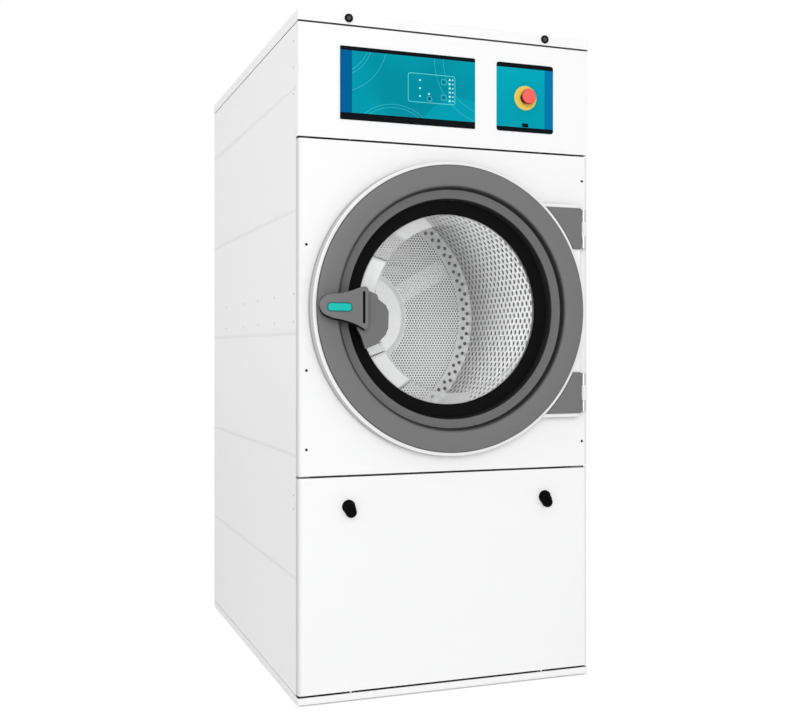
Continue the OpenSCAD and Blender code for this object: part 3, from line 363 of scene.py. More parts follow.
for name, colour, patch, spread, rough, pieces in (
    ("frame_zinc", (0.52, 0.53, 0.54), 50, 0.22, 0.32,
     ("frame_members", "front_bulkhead", "door_liner", "door_catch", "electrical_box")),
    # The rear bulkhead's zinc is painted near black, a painted shade behind the drum's holes.
    ("dull_zinc", (0.12, 0.122, 0.125), 45, 0.25, 0.4, ("rear_bulkhead",)),
    ("duct_zinc", (0.6, 0.61, 0.62), 38, 0.3, 0.28,
     ("heater_box", "lint_chamber", "fan_housing", "exhaust_duct", "exhaust_spigot", "fan_impeller")),
):
    values = {"Patch": patch, "Spread": spread, "Rough": rough}
    dress(surfaced(spangle, name, colour, rough, 0.8, 0.0, 0.5, 0.0, values), *pieces)


# Shafts, hinges, feet and bearings are bright machined or rolled steel. The tool leaves fine marks that run one way.
brush, given, result = shader_group(
    "brushed_marks",
    {"Colour": ("Color", (0.6, 0.6, 0.6, 1)), "Stretch": ("Vector", (60, 1500, 1500)), "Spread": ("Float", 0.1),
     "Rough": ("Float", 0.3)},
    {"Colour": "Color", "Roughness": "Float", "Height": "Float"},
)
along = wire(brush, "ShaderNodeVectorMath", {0: spot(brush), 1: given["Stretch"]}, operation="MULTIPLY")
mark = wire(brush, "ShaderNodeTexNoise", {"Vector": along, "Scale": 1.0, "Detail": 4.0})
brush.links.new(tinted(given["Colour"], (mark - 0.5) * given["Spread"] + 1.0).socket, result["Colour"])
brush.links.new(((mark - 0.5) * 0.25 + given["Rough"]).socket, result["Roughness"])
brush.links.new(mark.socket, result["Height"])


def brushed(name, colour, stretch, spread, rough, metallic):
    values = {"Stretch": stretch, "Spread": spread, "Rough": rough}
    return surfaced(brush, name, colour, rough, metallic, 0.0, 0.5, 0.00001, values)


dress(brushed("turned_steel", (0.56, 0.56, 0.57), (90, 2200, 90), 0.2, 0.28, 0.95), "drum_shaft", "shaft_bearings")
dress(brushed("hinge_steel", (0.62, 0.62, 0.63), (1800, 1800, 60), 0.15, 0.32, 0.9), "hinge_brackets")
dress(brushed("zinc_plate", (0.55, 0.56, 0.58), (500, 500, 120), 0.15, 0.3, 0.9), "levelling_feet")


# Black pan-head screws hold the door panel, and flush rivets hold the side panels at their front edge. Each head is
# stamped on its point, and the screws are turned at random, as a fitter leaves them.
def show(name, mesh, body, finish=None, replaces=()):
    piece = linked(name, mesh)
    if finish:
        mesh.materials.clear()
        mesh.materials.append(finish.material)
    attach(piece, body)
    if replaces:
        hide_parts(*replaces)


def settled(name, form, smooth=40):
    bmesh.ops.remove_doubles(form, verts=form.verts, dist=0.000004)
    bmesh.ops.dissolve_degenerate(form, edges=form.edges, dist=0.000002)
    bmesh.ops.recalc_face_normals(form, faces=form.faces)
    mesh = bpy.data.meshes.new(name)
    form.to_mesh(mesh)
    form.free()
    mesh.shade_smooth()
    mesh.set_sharp_from_angle(angle=math.radians(smooth))
    return mesh


def turned_mesh(name, profile, steps, centre=(0, 0, 0), smooth=40):
    form = bmesh.new()
    ring = [form.verts.new((radius / 1000, depth / 1000, 0)) for radius, depth in profile]
    edges = [form.edges.new((ring[i], ring[(i + 1) % len(ring)])) for i in range(len(ring))]
    bmesh.ops.spin(
        form, geom=ring + edges, cent=(0, 0, 0), axis=(0, 1, 0), angle=math.tau, steps=steps, use_merge=True,
    )
    mesh = settled(name, form, smooth)
    mesh.transform(Matrix.Translation(centre))
    return mesh


def geometry_group(name, takes):
    tree = bpy.data.node_groups.new(name, "GeometryNodeTree")
    keys = {}
    for label, kind in takes.items():
        keys[label] = tree.interface.new_socket(label, in_out="INPUT", socket_type="NodeSocket" + kind).identifier
    tree.interface.new_socket("Result", in_out="OUTPUT", socket_type="NodeSocketGeometry")
    given = tree.nodes.new("NodeGroupInput").outputs
    return tree, keys, {label: Wire(given[label]) for label in takes}


def stamped(tree, given, points, **turning):
    shape = wire(tree, "GeometryNodeObjectInfo", {"Object": given["Shape"]}, "Geometry", transform_space="ORIGINAL")
    copies = wire(tree, "GeometryNodeInstanceOnPoints", {"Points": points, "Instance": shape, **turning})
    return wire(tree, "GeometryNodeRealizeInstances", {"Geometry": copies})


def finished(tree, geometry, finish):
    covered = wire(tree, "GeometryNodeSetMaterial", {"Geometry": geometry, "Material": finish})
    tree.links.new(covered.socket, tree.nodes.new("NodeGroupOutput").inputs[0])


def baked(carrier):
    bpy.context.view_layer.update()
    depsgraph = bpy.context.evaluated_depsgraph_get()
    mesh = bpy.data.meshes.new_from_object(carrier.evaluated_get(depsgraph))
    carrier.modifiers.clear()
    bpy.data.objects.remove(carrier)
    return mesh


def grown(name, tree, keys, cloud, shape, finish, **values):
    shape.materials.append(finish.material)
    carrier, pattern = linked(name + "_carrier", cloud), linked(name + "_shape", shape)
    modifier = carrier.modifiers.new("grow", "NODES")
    modifier.node_group = tree
    for label, value in {"Shape": pattern, "Finish": finish.material, **values}.items():
        modifier[keys[label]] = value
    mesh = baked(carrier)
    bpy.data.objects.remove(pattern)
    return mesh


stamp, stamp_keys, given = geometry_group(
    "stamp_on_points", {"Points": "Geometry", "Shape": "Object", "Turn": "Vector", "Finish": "Material"}
)
spin = {"Min": (0.0, 0.0, 0.0), "Max": given["Turn"], "Seed": 5}
spin = wire(stamp, "FunctionNodeRandomValue", spin, data_type="FLOAT_VECTOR")
finished(stamp, stamped(stamp, given, given["Points"], Rotation=spin), given["Finish"])


def stamped_mesh(name, points, shape, finish, turn=(0, 0, 0)):
    cloud = bpy.data.meshes.new(name + "_points")
    cloud.from_pydata([tuple(point) for point in points], [], [])
    return grown(name, stamp, stamp_keys, cloud, shape, finish, Turn=turn)


def screw_head(radius, height, socket):
    return turned_mesh("screw_head", [
        (0, -height * 0.55), (socket, -height * 0.55), (socket, -height), (radius * 0.72, -height * 0.92),
        (radius * 0.93, -height * 0.6), (radius, -height * 0.2), (radius, 0), (0, 0),
    ], 24)


black_oxide = skinned("black_oxide", (0.01, 0.01, 0.01), 0.45, 900, 40, 0.2, 0.00003, gloss=0.12)
rivet_zinc = skinned("rivet_zinc", (0.5, 0.5, 0.51), 0.35, 900, 60, 0.15, 0.00002, metallic=0.9)
door_centre = 969.75
any_turn = (0, math.tau, 0)
screw_points = [at(x, 0, door_centre + z) for x, z in
                ((-376, 153), (-376, -153.4), (-376, -346.3), (380, 346.3), (380, -346))]
show("front_screws", stamped_mesh("front_screws", screw_points, screw_head(3.4, 1.6, 1.4), black_oxide, any_turn),
     "cabinet", replaces=["case_screws"])
side_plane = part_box("left_side_panel")[0].x * 1000
left_rivets = [at(side_plane, 45, z) for z in (1626, 1561, 1496, 1004, 936, 508, 475)]
left_rivets += [at(side_plane, y, z) for z in (1004, 936) for y in (250, 450, 650, 920)]
right_rivets = [Vector((-point.x, point.y, point.z)) for point in left_rivets]
for name, rivet_points, facing in (("left_rivets", left_rivets, -90), ("right_rivets", right_rivets, 90)):
    rivet = turned_mesh("rivet", [(0, -0.8), (1.8, -0.72), (2.7, -0.4), (3.0, 0), (0, 0)], 20)
    rivet.transform(Matrix.Rotation(math.radians(facing), 4, "Z"))
    show(name, stamped_mesh(name, rivet_points, rivet, rivet_zinc), "cabinet")


# Two quarter-turn locks in the lip of the top cover: black moulded heads round a grey die-cast core with a key slot.
def distance_from(tree, x, z):
    across, _, up = places(tree)
    across, up = across - x / 1000, up - z / 1000
    return across.maths("MULTIPLY_ADD", across, up * up).maths("SQRT")


for side, lock_x in (("left", -269), ("right", 269)):
    lock = skinned(side + "_lock_black", (0.004, 0.004, 0.004), 0.42, 1200, 60, 0.2, 0.00003, gloss=0.05)
    core = inside(distance_from(lock.tree, lock_x, 1683), 5.5)
    lock.feed("Base Color", blended(core, (0.005, 0.005, 0.005), (0.08, 0.08, 0.082)))
    dress(lock, side + "_cover_lock")


# Both windows are printed film under gloss, stuck on the control panel: teal with a deep blue strip on the left, plain
# dark bands above and below and fine pale arcs, and a slim blue strip on the right of the small one.
def rounded_box(across, up, x, z, half_x, half_z, corner):
    over_x = abs(across - x / 1000) - (half_x - corner) / 1000
    over_z = abs(up - z / 1000) - (half_z - corner) / 1000
    out_x, out_z = over_x | 0.0, over_z | 0.0
    outer = out_x.maths("MULTIPLY_ADD", out_x, out_z * out_z).maths("SQRT")
    return outer + (over_x | over_z).maths("MINIMUM", 0.0) - corner / 1000


def line(distance, half_width):
    return inside(abs(distance), half_width, 0.0004)


foil = Finish("printed_foil", (0.0, 0.27, 0.35), 0.3, gloss=0.03)
across, _, up = places(foil.tree)
tone = ramp(clouds(foil.tree, 7.0, 1.0), 0.35, 0.65)
foil.feed("Base Color", blended(tone, (0.0, 0.24, 0.315), (0.0, 0.285, 0.375)))
painted(foil, inside(distance_from(foil.tree, 30, 1390), 118, 0.002) * 0.45, (0.0, 0.36, 0.47))
arcs = up * 0.0
for x, z, radius in ((-310, 1640, 96), (-310, 1640, 104), (-310, 1640, 142), (-150, 1360, 112), (-150, 1360, 120),
                     (110, 1600, 128), (110, 1600, 152)):
    arcs = arcs | line(distance_from(foil.tree, x, z) - radius / 1000, 0.55)
painted(foil, arcs * 0.55, (0.08, 0.6, 0.68))
painted(foil, ramp(across, -0.2596, -0.2614), (0.0, 0.105, 0.28))
on_small = ramp(across, 0.099, 0.101)
lighter = blended(ramp(up, 1.45, 1.6), (0.0, 0.31, 0.4), (0.0, 0.35, 0.45))
painted(foil, on_small, blended(ramp(across, 0.2681, 0.2691), lighter, (0.0, 0.17, 0.36)))
bands = outside(rounded_box(across, up, -110.5, 1527.75, 182, 76.75, 2), 0.0, 0.0006) * (1.0 - on_small)
bands = bands | on_small * outside(rounded_box(across, up, 212.1, 1524, 90, 77, 2), 0.0, 0.0006)
label = inside(rounded_box(across, up, 212, 1453, 9, 5, 1.5), 0.0, 0.0006)
painted(foil, bands | label, (0.004, 0.006, 0.008))
painted(foil, line(rounded_box(across, up, -49.65, 1526.9, 63.35, 35.9, 6), 0.9) * 0.85, (0.11, 0.63, 0.7))
bumped(foil, clouds(foil.tree, 900.0), 0.000004)
dress(foil, "panel_windows")


# The keypad has one round key and two square ones of embossed film, each with a light outline and a plain symbol, and
# sixteen small lamps with clear lenses.
key_film = Finish("key_film", (0.0, 0.25, 0.33), 0.35, gloss=0.04)
across, _, up = places(key_film.tree)
start = distance_from(key_film.tree, -56, 1501.3)
light, dark = line(start - 0.0065, 0.8), inside(start, 3.6, 0.0006)
for key_z, pointing in ((1546.3, 1), (1507, -1)):
    height = (up - key_z / 1000) * pointing
    slope = height * 0.62 + abs(across + 0.0173)
    light = light | line(rounded_box(across, up, -17.3, key_z, 6.7, 6.7, 1.5), 0.7)
    dark = dark | inside(slope, 1.9, 0.0005) * inside(height * -1.0, 2.6, 0.0005)
key_film.feed("Base Color", blended(clouds(key_film.tree, 300.0), (0.0, 0.24, 0.32), (0.0, 0.27, 0.36)))
painted(key_film, light * 0.75, (0.08, 0.55, 0.62))
painted(key_film, dark, (0.0, 0.075, 0.15))
dress(key_film, "start_key", "up_key", "down_key")

lamp_lens = Finish("lamp_lens", (0.35, 0.88, 0.92), 0.15, coat=0.4, gloss=0.3)
lamp_lens.feed("Base Color", blended(clouds(lamp_lens.tree, 500.0), (0.28, 0.84, 0.9), (0.5, 0.95, 0.98)))
rows = [1553.4 - i * 10.68 for i in range(6)]
for name, lens_r, spots in (
    ("status_lamps", 2.5, [(-81.3, 1546.6), (-81.3, 1526.4), (-81.3, 1506.5), (-56.9, 1513.4)]),
    ("program_lamps", 2.9, [(-0.5, z) for z in rows]),
    ("step_lamps", 2.0, [(8.0, z) for z in rows]),
):
    lens = turned_mesh("lens", [(0, -0.7), (lens_r * 0.55, -0.6), (lens_r * 0.88, -0.35), (lens_r, 0), (0, 0)], 20)
    show(name, stamped_mesh(name, [at(x, -1.2, z) for x, z in spots], lens, lamp_lens), "cabinet")


# The emergency stop is a red moulded mushroom on a black collar, which clamps a yellow disc on the small window.
stop_x, stop_z = 212.1, 1524
collar = skinned("stop_collar_finish", (0.005, 0.005, 0.005), 0.4, 1200, 60, 0.2, 0.00002, gloss=0.05)
disc_front = inside(places(collar.tree)[1] - at(0, -1.0, 0).y, 0.0)
disc = outside(distance_from(collar.tree, stop_x, stop_z), 14.7) * disc_front
collar.feed("Base Color", blended(disc, (0.006, 0.006, 0.006), (0.87, 0.6, 0.11)))
dress(collar, "stop_collar")
stop_red = skinned("stop_red", (0.93, 0.12, 0.1), 0.32, 900, 50, 0.06, 0.00002, gloss=0.2)
# Painted shade: the mushroom's side wall is painted dark red.
painted(stop_red, by_depth(stop_red, (-27.2, 0.0), (-24, 1.0)), (0.2, 0.004, 0.004))
show("stop_mushroom", turned_mesh("stop_mushroom", [
    (0, -28.9), (9.5, -28.7), (15, -27.9), (18.5, -26.5), (20, -24.6), (20.4, -22.4), (20.1, -20.4), (19, -18.8),
    (15.5, -18.2), (13, -17.8), (12.6, -16), (12.6, -13.2), (8.2, -13.2), (8.2, -15.9), (0, -15.9),
], 64, at(stop_x, 0, stop_z)), "stop_cap", stop_red, replaces=["stop_head"])
dress(skinned("stem_black", (0.007, 0.007, 0.007), 0.4, 1200, 60, 0.2, 0.00002, gloss=0.12), "stop_stem")


# Each latch of the service panel is a black moulding: a round base, a rounded lobe that hangs from it as a thumb grip,
# and a steel tongue on its shaft behind the panel, which here takes the moulding's black finish.
latch_black = skinned("latch_black", (0.002, 0.002, 0.002), 0.4, 1400, 60, 0.2, 0.00002, gloss=0.03)
for side, latch_x, tongue_out in (("left", -269, 1), ("right", 269, -1)):
    latch = bmesh.new()
    for x, z, steps, profile in (
        (0, 481, 48, [(0, -5.5), (13.5, -5.4), (15.6, -4.8), (16.7, -3.4), (16.8, -0.3), (6, -0.3), (6, 24), (0, 24)]),
        (0, 481, 40, [(0, -16.2), (9, -15.8), (11, -14.6), (12, -12.5), (12, -4), (0, -4)]),
        (4, 467.5, 48, [(0, -17), (8.5, -16.8), (11.4, -15.8), (13, -13.8), (13.5, -11), (13.5, -4), (0, -4)]),
        (1.5, 474, 48, [(0, -15.6), (10, -15.4), (13, -14.2), (14.6, -12), (14.6, -4), (0, -4)]),
    ):
        latch.from_mesh(turned_mesh("latch_part", profile, steps, at(latch_x + x, 0, z)))
    low, high = at(latch_x - 6 * tongue_out, 21.5, 475), at(latch_x + 45 * tongue_out, 24, 487)
    tongue = bmesh.ops.create_cube(latch, size=1)["verts"]
    bmesh.ops.scale(latch, verts=tongue, vec=(abs(high.x - low.x), high.y - low.y, high.z - low.z))
    bmesh.ops.translate(latch, verts=tongue, vec=(low + high) / 2)
    show(side + "_latch_moulding", settled("latch", latch), side + "_latch", latch_black,
         replaces=[side + "_service_latch"])


# The door pan is one deep-drawn white pressing: a dish with a rolled front edge and a step in its wall, cut straight
# beside the hinges, and a lower wing that carries them. The dish's wall and the wing's sides carry painted shade,
# darker further back, and a painted dark line runs round the dish's outer edge.
def lofted_mesh(name, loops, ends="joined"):
    form = bmesh.new()
    rings = [[form.verts.new(point) for point in loop] for loop in loops]
    if ends == "joined":
        rings.append(rings[0])
    for first, second in zip(rings, rings[1:]):
        for i in range(len(first)):
            j = (i + 1) % len(first)
            form.faces.new((first[i], first[j], second[j], second[i]))
    if ends == "capped":
        form.faces.new(rings[0])
        form.faces.new(rings[-1])
    return settled(name, form)


def arc(x, z, radius, first, last, steps=6):
    turns = [math.radians(first + (last - first) * i / steps) for i in range(steps + 1)]
    return [(x + radius * math.cos(turn), z + radius * math.sin(turn)) for turn in turns]


pan_r, pan_right, wing_half, wing_front = 372.0, 362.0, 280.0, -27.2


def dish_outline(inset, depth, radius=None):
    cut = math.acos((pan_right - inset) / (pan_r - inset))
    points = arc(0, 0, pan_r - inset, math.degrees(cut), 360 - math.degrees(cut), 160)
    reach = (pan_r - inset) * math.sin(cut)
    points += [(pan_right - inset, -reach + 2 * reach * i / 20) for i in range(1, 20)]
    if radius:
        turns = [math.atan2(z, x) for x, z in points]
        return [at(radius * math.cos(turn), depth, door_centre + radius * math.sin(turn)) for turn in turns]
    loop = []
    for x, z in points:
        beside_wing = x > 0 and abs(z) < wing_half - 2
        loop.append(at(x, min(depth, wing_front) if beside_wing else depth, door_centre + z))
    return loop


dish = [dish_outline(*step) for step in (
    (0, -4), (0, -12.5), (0.9, -13.5), (0.9, -32.5), (1.2, -34.8), (2.1, -36.6), (3.6, -37.7), (5.2, -38),
    (5.2, -38, 306), (5.2, -36.5, 306), (5.2, -36.5), (3.4, -35.6), (2.5, -33.5), (2.4, -14), (1.5, -13), (1.5, -4),
)]
pan_coat = coated("pan_coat")
# Painted shade on the dish's wall, darker towards the back, and a painted dark line at its outer edge.
shaded(pan_coat, by_depth(pan_coat, (-38, 0.93), (-37, 0.95), (-35.5, 0.97), (-14, 0.95), (-12.8, 0.62), (-4, 0.55)))
shaded(pan_coat, ramp(distance_from(pan_coat.tree, 0, door_centre), 0.3693, 0.3706) * -0.4 + 1.0)
show("pan_dish", lofted_mesh("pan_dish", dish), "door", pan_coat, replaces=["door_pan"])


def wing_outline(inset, depth):
    inner_r, corner = 345 + inset, 14 - inset
    top, right = wing_half - inset, pan_right - inset
    start = math.degrees(math.asin(top / inner_r))
    points = arc(0, 0, inner_r, start, -start, 40)
    points += arc(right - corner, corner - top, corner, -90, 0, 8) + arc(right - corner, top - corner, corner, 0, 90, 8)
    return [at(x, depth, door_centre + z) for x, z in points]


wing = [wing_outline(*step) for step in (
    (3.4, -26.5), (1.6, -25), (1.5, -4), (0, -4), (0, -24.5), (0.5, -26.5), (1.6, -27.6), (3.2, -28),
)]
wing_coat = coated("wing_coat")
# Painted shade on the wing's sides, darker towards the back.
shaded(wing_coat, by_depth(wing_coat, (-28, 1.0), (-27.6, 0.85), (-26.5, 0.66), (-24.5, 0.55), (-4, 0.46)))
show("pan_wing", lofted_mesh("pan_wing", wing, "capped"), "door", wing_coat)


# Two grey mouldings clip over the hinges. Each follows the pan's round edge on one side, and its outer corners are
# rounded. Their sides carry painted shade, darker towards the back. The knuckles of the hinge show beside them.
def plate_mesh(name, outlines, front, back, edge):
    drawn = bpy.data.curves.new(name, "CURVE")
    drawn.dimensions = "2D"
    drawn.fill_mode = "BOTH"
    drawn.extrude = (back - front) / 2000 - edge / 1000
    drawn.bevel_depth = edge / 1000
    drawn.bevel_resolution = 3
    drawn.offset = -edge / 1000
    for outline in outlines:
        spline = drawn.splines.new("POLY")
        spline.points.add(len(outline) - 1)
        spline.use_cyclic_u = True
        for point, (x, z) in zip(spline.points, outline):
            point.co = (x / 1000, z / 1000, 0, 1)
    form = bmesh.new()
    form.from_mesh(baked(linked(name + "_carrier", drawn)))
    mesh = settled(name, form)
    mesh.transform(Matrix.Translation(at(0, (front + back) / 2, 0)) @ Matrix.Rotation(math.radians(90), 4, "X"))
    return mesh


cover_grey = skinned("cover_grey", (0.158, 0.158, 0.16), 0.45, 700, 9, 0.06, 0.00006)
# Painted shade on the covers' sides, darker towards the back.
shaded(cover_grey, by_depth(cover_grey, (-34, 1.0), (-33.7, 0.9), (-32.8, 0.5), (-28, 0.2)))
cover_half, cover_corner, beside_pan = 54, 7, 372.6
for name, middle, replaced in (("upper_hinge_cover", 215.7, ["hinge_covers"]), ("lower_hinge_cover", -215.7, [])):
    low, high = middle - cover_half, middle + cover_half
    heights = [high - (high - low) * i / 24 for i in range(25)]
    outline = [(math.sqrt(beside_pan ** 2 - z ** 2), door_centre + z) for z in heights]
    outline += arc(pan_right - cover_corner, door_centre + low + cover_corner, cover_corner, -90, 0)
    outline += arc(pan_right - cover_corner, door_centre + high - cover_corner, cover_corner, 0, 90)
    show(name, plate_mesh(name, [outline], -34, -28, 1.2), "door", cover_grey, replaces=replaced)


# A grey moulded ring snaps on the pan's front. Its face is flat with rounded edges, and its inner wall falls back
# behind the glass's gasket. The inner wall is painted near black and the face's edges darker, a painted shade.
ring_grey = skinned("ring_grey", (0.166, 0.166, 0.168), 0.45, 700, 5, 0.04, 0.00006, gloss=0.25)
# Painted shade: the inner wall near black, its rounded edges darker, and a dark line at the face's outer edge.
shaded(ring_grey, by_depth(
    ring_grey, (-42, 0.97), (-41.6, 0.8), (-40.6, 0.3), (-38.5, 0.1), (-35, 0.05), (-30, 0.05), (-26.5, 0.06),
    (-25, 0.84), (-22, 0.8), (-21, 0.62), (-18, 0.12), (5, 0.05),
))
shaded(ring_grey, ramp(distance_from(ring_grey.tree, 0, door_centre), 0.359, 0.3603) * -0.5 + 1.0)
show("moulded_ring", turned_mesh("moulded_ring", [
    (361.8, -38.1), (361.9, -40.2), (361.2, -41.4), (359.8, -42), (312.5, -42), (308.4, -41.2), (305.2, -39.2),
    (303.4, -36.2), (301.2, -26.2), (300.2, -24.4), (298.2, -23.4), (280.6, -22.2), (279.2, -21.2), (275.2, 4.6),
    (278, 4.8), (282, -19), (305.6, -21), (305.7, -38.1),
], 256, at(0, 0, door_centre), 28), "door", ring_grey, replaces=["door_ring"])


# The glass sits in a black rubber gasket with a fine lip at its edge. A second seal of the same rubber is stuck
# round the back of the door, where it meets the cabinet.
gasket_rubber = skinned("gasket_rubber", (0.0045, 0.0045, 0.0045), 0.5, 500, 30, 0.15, 0.00005, gloss=0.04)
show("rubber_gasket", turned_mesh("rubber_gasket", [
    (242, 8.7), (242, 7.2), (242.7, 6.3), (244, 6.1), (246.4, 6.6), (248.6, 6.4), (271, 5.5), (273.2, 5.3),
    (282.7, 5.3), (282.7, 21.7), (244, 21.7), (244, 15.3), (262.3, 15.3), (262.3, 8.7),
], 192, at(0, 0, door_centre), 30), "door", gasket_rubber, replaces=["glass_gasket"])
dress(skinned("seal_rubber", (0.015, 0.015, 0.015), 0.6, 400, 30, 0.2, 0.0001, gloss=0.15), "door_seal")


# The door's glass is a pressed clear dish, 6 mm thick: a flat front, a slope and a rim inside the gasket. The slope
# carries painted reflections, bright patches at fixed angles round it, and painted dark lines at its edges and between
# the patches.
dome_glass = Finish("dome_glass", (0.92, 0.93, 0.93), 0.04)
dome_glass.inputs["IOR"].default_value = 1.45
far = distance_from(dome_glass.tree, 0, door_centre)
slope = ramp(far, 0.2105, 0.214) * ramp(far, 0.2425, 0.241)
across, _, up = places(dome_glass.tree)
turn = ((up - door_centre / 1000) * -1.0).maths("ARCTAN2", across * -1.0) * (180 / math.pi)
# Painted reflections: bright patches at fixed angles round the slope, with painted dark lines at its edges and between
# them.
painted_glints = clouds(dome_glass.tree, 6.0, 1.0) * 0.5 - 0.05
for first, last, strength in ((-32, 22, 1.75), (31, 56, 1.7), (78, 104, 0.6), (-75, -52, 0.8), (128, 150, 0.45)):
    painted_glints = painted_glints | ramp(turn, first - 2, first + 2) * ramp(turn, last + 2, last - 2) * strength
painted_edge_lines = (line(far - 0.2135, 0.7) | line(far - 0.2405, 0.9)) * 0.4
metres_per_degree = 0.0039
for patch_edge in (-33, 23.5, 30, 57):
    painted_edge_lines = painted_edge_lines | line((turn - patch_edge) * metres_per_degree, 1.0) * slope
dome_glass.feed("Alpha", painted_edge_lines * 0.75 + (slope * painted_glints * 0.55 + 0.045))
dome_glass.feed("Base Color", blended(painted_edge_lines, (0.95, 0.955, 0.955), (0.1, 0.1, 0.1)))
show("glass_dish", turned_mesh("glass_dish", [
    (0, -36), (203, -36), (207.5, -35.4), (210.8, -33.6), (213, -30.6), (241.2, 8.4), (243.5, 9.1), (262, 9.1),
    (262, 14.9), (236, 14.9), (233.6, 13.7), (206.6, -27.4), (204.4, -29.4), (201.6, -30), (0, -30),
], 192, at(0, 0, door_centre), 50), "door", dome_glass, replaces=["door_glass"])


# The handle's housing is a grey moulding clamped over the glass's edge, a flat plate with chamfered edges and two
# knuckles. The lever swings on its pin: a grip with a round end, a slot beside the pin, and a turquoise badge. The
# housing's edges and the lever's sides and back carry painted shade, and black strips in the slot and below the grip
# are painted shade too.
lever_x, lever_z = -244.0, 967.75


def pin_mesh(profile, steps):
    mesh = turned_mesh("pin", profile, steps)
    mesh.transform(Matrix.Rotation(math.radians(90), 4, "X"))
    mesh.transform(Matrix.Translation(at(lever_x, -62, lever_z)))
    return mesh


def moulded(name, plates, pins=()):
    form = bmesh.new()
    for outlines, front, back, edge in plates:
        lifted = [[(x, lever_z + z) for x, z in outline] for outline in outlines]
        form.from_mesh(plate_mesh(name + "_plate", lifted, front, back, edge))
    for profile, steps in pins:
        form.from_mesh(pin_mesh(profile, steps))
    return settled(name, form)


def oblong(left, right, low, high):
    return [(left, low), (right, low), (right, high), (left, high)]


housing_grey = skinned("housing_grey", (0.15, 0.15, 0.152), 0.42, 800, 14, 0.05, 0.00005, gloss=0.3)
# Painted shade on the housing's edges and sides, darker towards the back.
shaded(housing_grey, by_depth(
    housing_grey, (-68, 1.0), (-51, 1.0), (-49.5, 0.75), (-48, 0.45), (-40, 0.3), (-24, 0.25)
))
housing_line = [(-262, 36), (-262, -50), (-252, -69), (-242, -99), (-215, -89), (-190, -65), (-183, -48), (-182, -8),
                (-189, 8), (-208, 22), (-212, 34), (-232, 42)]
housing_plates = [([housing_line], -52, -40, 1.6), ([oblong(-297, -250, -28, 32)], -51.6, -40.4, 1.2),
                  ([oblong(-297, -283, -18, 22)], -41, -24.2, 1.0)]
housing_pins = []
for low, high in ((-46.5, -26.5), (27.5, 47.5)):
    housing_pins.append(([(0, low + 0.8), (4.7, low), (5.5, low + 0.8), (5.5, high - 0.8), (4.7, high), (0, high)], 32))
    housing_plates.append(([oblong(-248, -240, low, high)], -62, -51, 0.4))
housing_pins.append(([(0, -48), (2.5, -48), (2.5, 49), (0, 49)], 24))
show("housing_moulding", moulded("housing_moulding", housing_plates, housing_pins), "door",
     housing_grey, replaces=["handle_housing"])

grip_line = [(-268, 47), (-280, 42.4), (-292, 38.6), (-308, 35), (-325, 33)] + arc(-337, 5, 26, 100, 250, 16)
grip_line += [(-330, -25.4), (-308, -29), (-293, -33), (-280, -37.4), (-268, -42)]
lever_line = [(-241, 42), (-242.5, 46.5), (-246, 50.6), (-251, 52), *grip_line]
lever_line += [(-251, -52), (-246, -52), (-242.5, -48), (-241, -44)]
slot_line = arc(-252.5, 37, 2.8, 0, 180) + arc(-252.5, -35, 2.8, 180, 360)
lever_grey = skinned("lever_grey", (0.155, 0.155, 0.158), 0.4, 800, 14, 0.05, 0.00005, gloss=0.3)
# Painted shade: the lever's sides and back are near black.
shaded(lever_grey, by_depth(lever_grey, (-76, 1.0), (-75, 1.0), (-74, 0.5), (-72.8, 0.08), (-56, 0.03)))
show("lever_moulding", moulded(
    "lever_moulding",
    [([lever_line, slot_line], -76, -68, 2.6), ([grip_line], -74, -58, 2.6),
     ([oblong(-248, -242, -25.6, 26.6)], -69, -61, 0.4)],
    [([(0, -25.8), (5, -25.8), (5.5, -25.2), (5.5, 26.2), (5, 26.8), (0, 26.8)], 32)],
), "lever", lever_grey, replaces=["handle_lever"])
# Painted shade: black strips behind the slot and peeping out below the grip's lower edge.
painted_shade_black = skinned("painted_shade_black", (0.003, 0.003, 0.003), 0.6, 900, 40, 0.2, 0.00003, gloss=0.05)
show("slot_strip", moulded("slot_strip", [
    ([[(x + (0.6 if x > -252.5 else -0.6), z) for x, z in slot_line]], -72, -68.6, 0.2),
    ([[(x, z - 3.8) for x, z in lever_line if x < -246]], -72.4, -68.4, 1.2),
]), "lever", painted_shade_black)
badge_film = skinned("badge_film", (0.002, 0.47, 0.42), 0.25, 900, 20, 0.05, 0.00001, coat=0.1, gloss=0.2)
across, _, up = places(badge_film.tree)
badge_rim = rounded_box(across, up, -314, lever_z + 1, 31, 11, 8)
painted(badge_film, outside(badge_rim, -2.6, 0.0008), (0.004, 0.12, 0.11))
badge_line = arc(-291, 4, 8, 0, 90) + arc(-337, 4, 8, 90, 180) + arc(-337, -2, 8, 180, 270) + arc(-291, -2, 8, 270, 360)
show("badge_plate", moulded("badge_plate", [([badge_line], -77, -75.8, 0.35)]), "lever", badge_film,
     replaces=["lever_badge"])


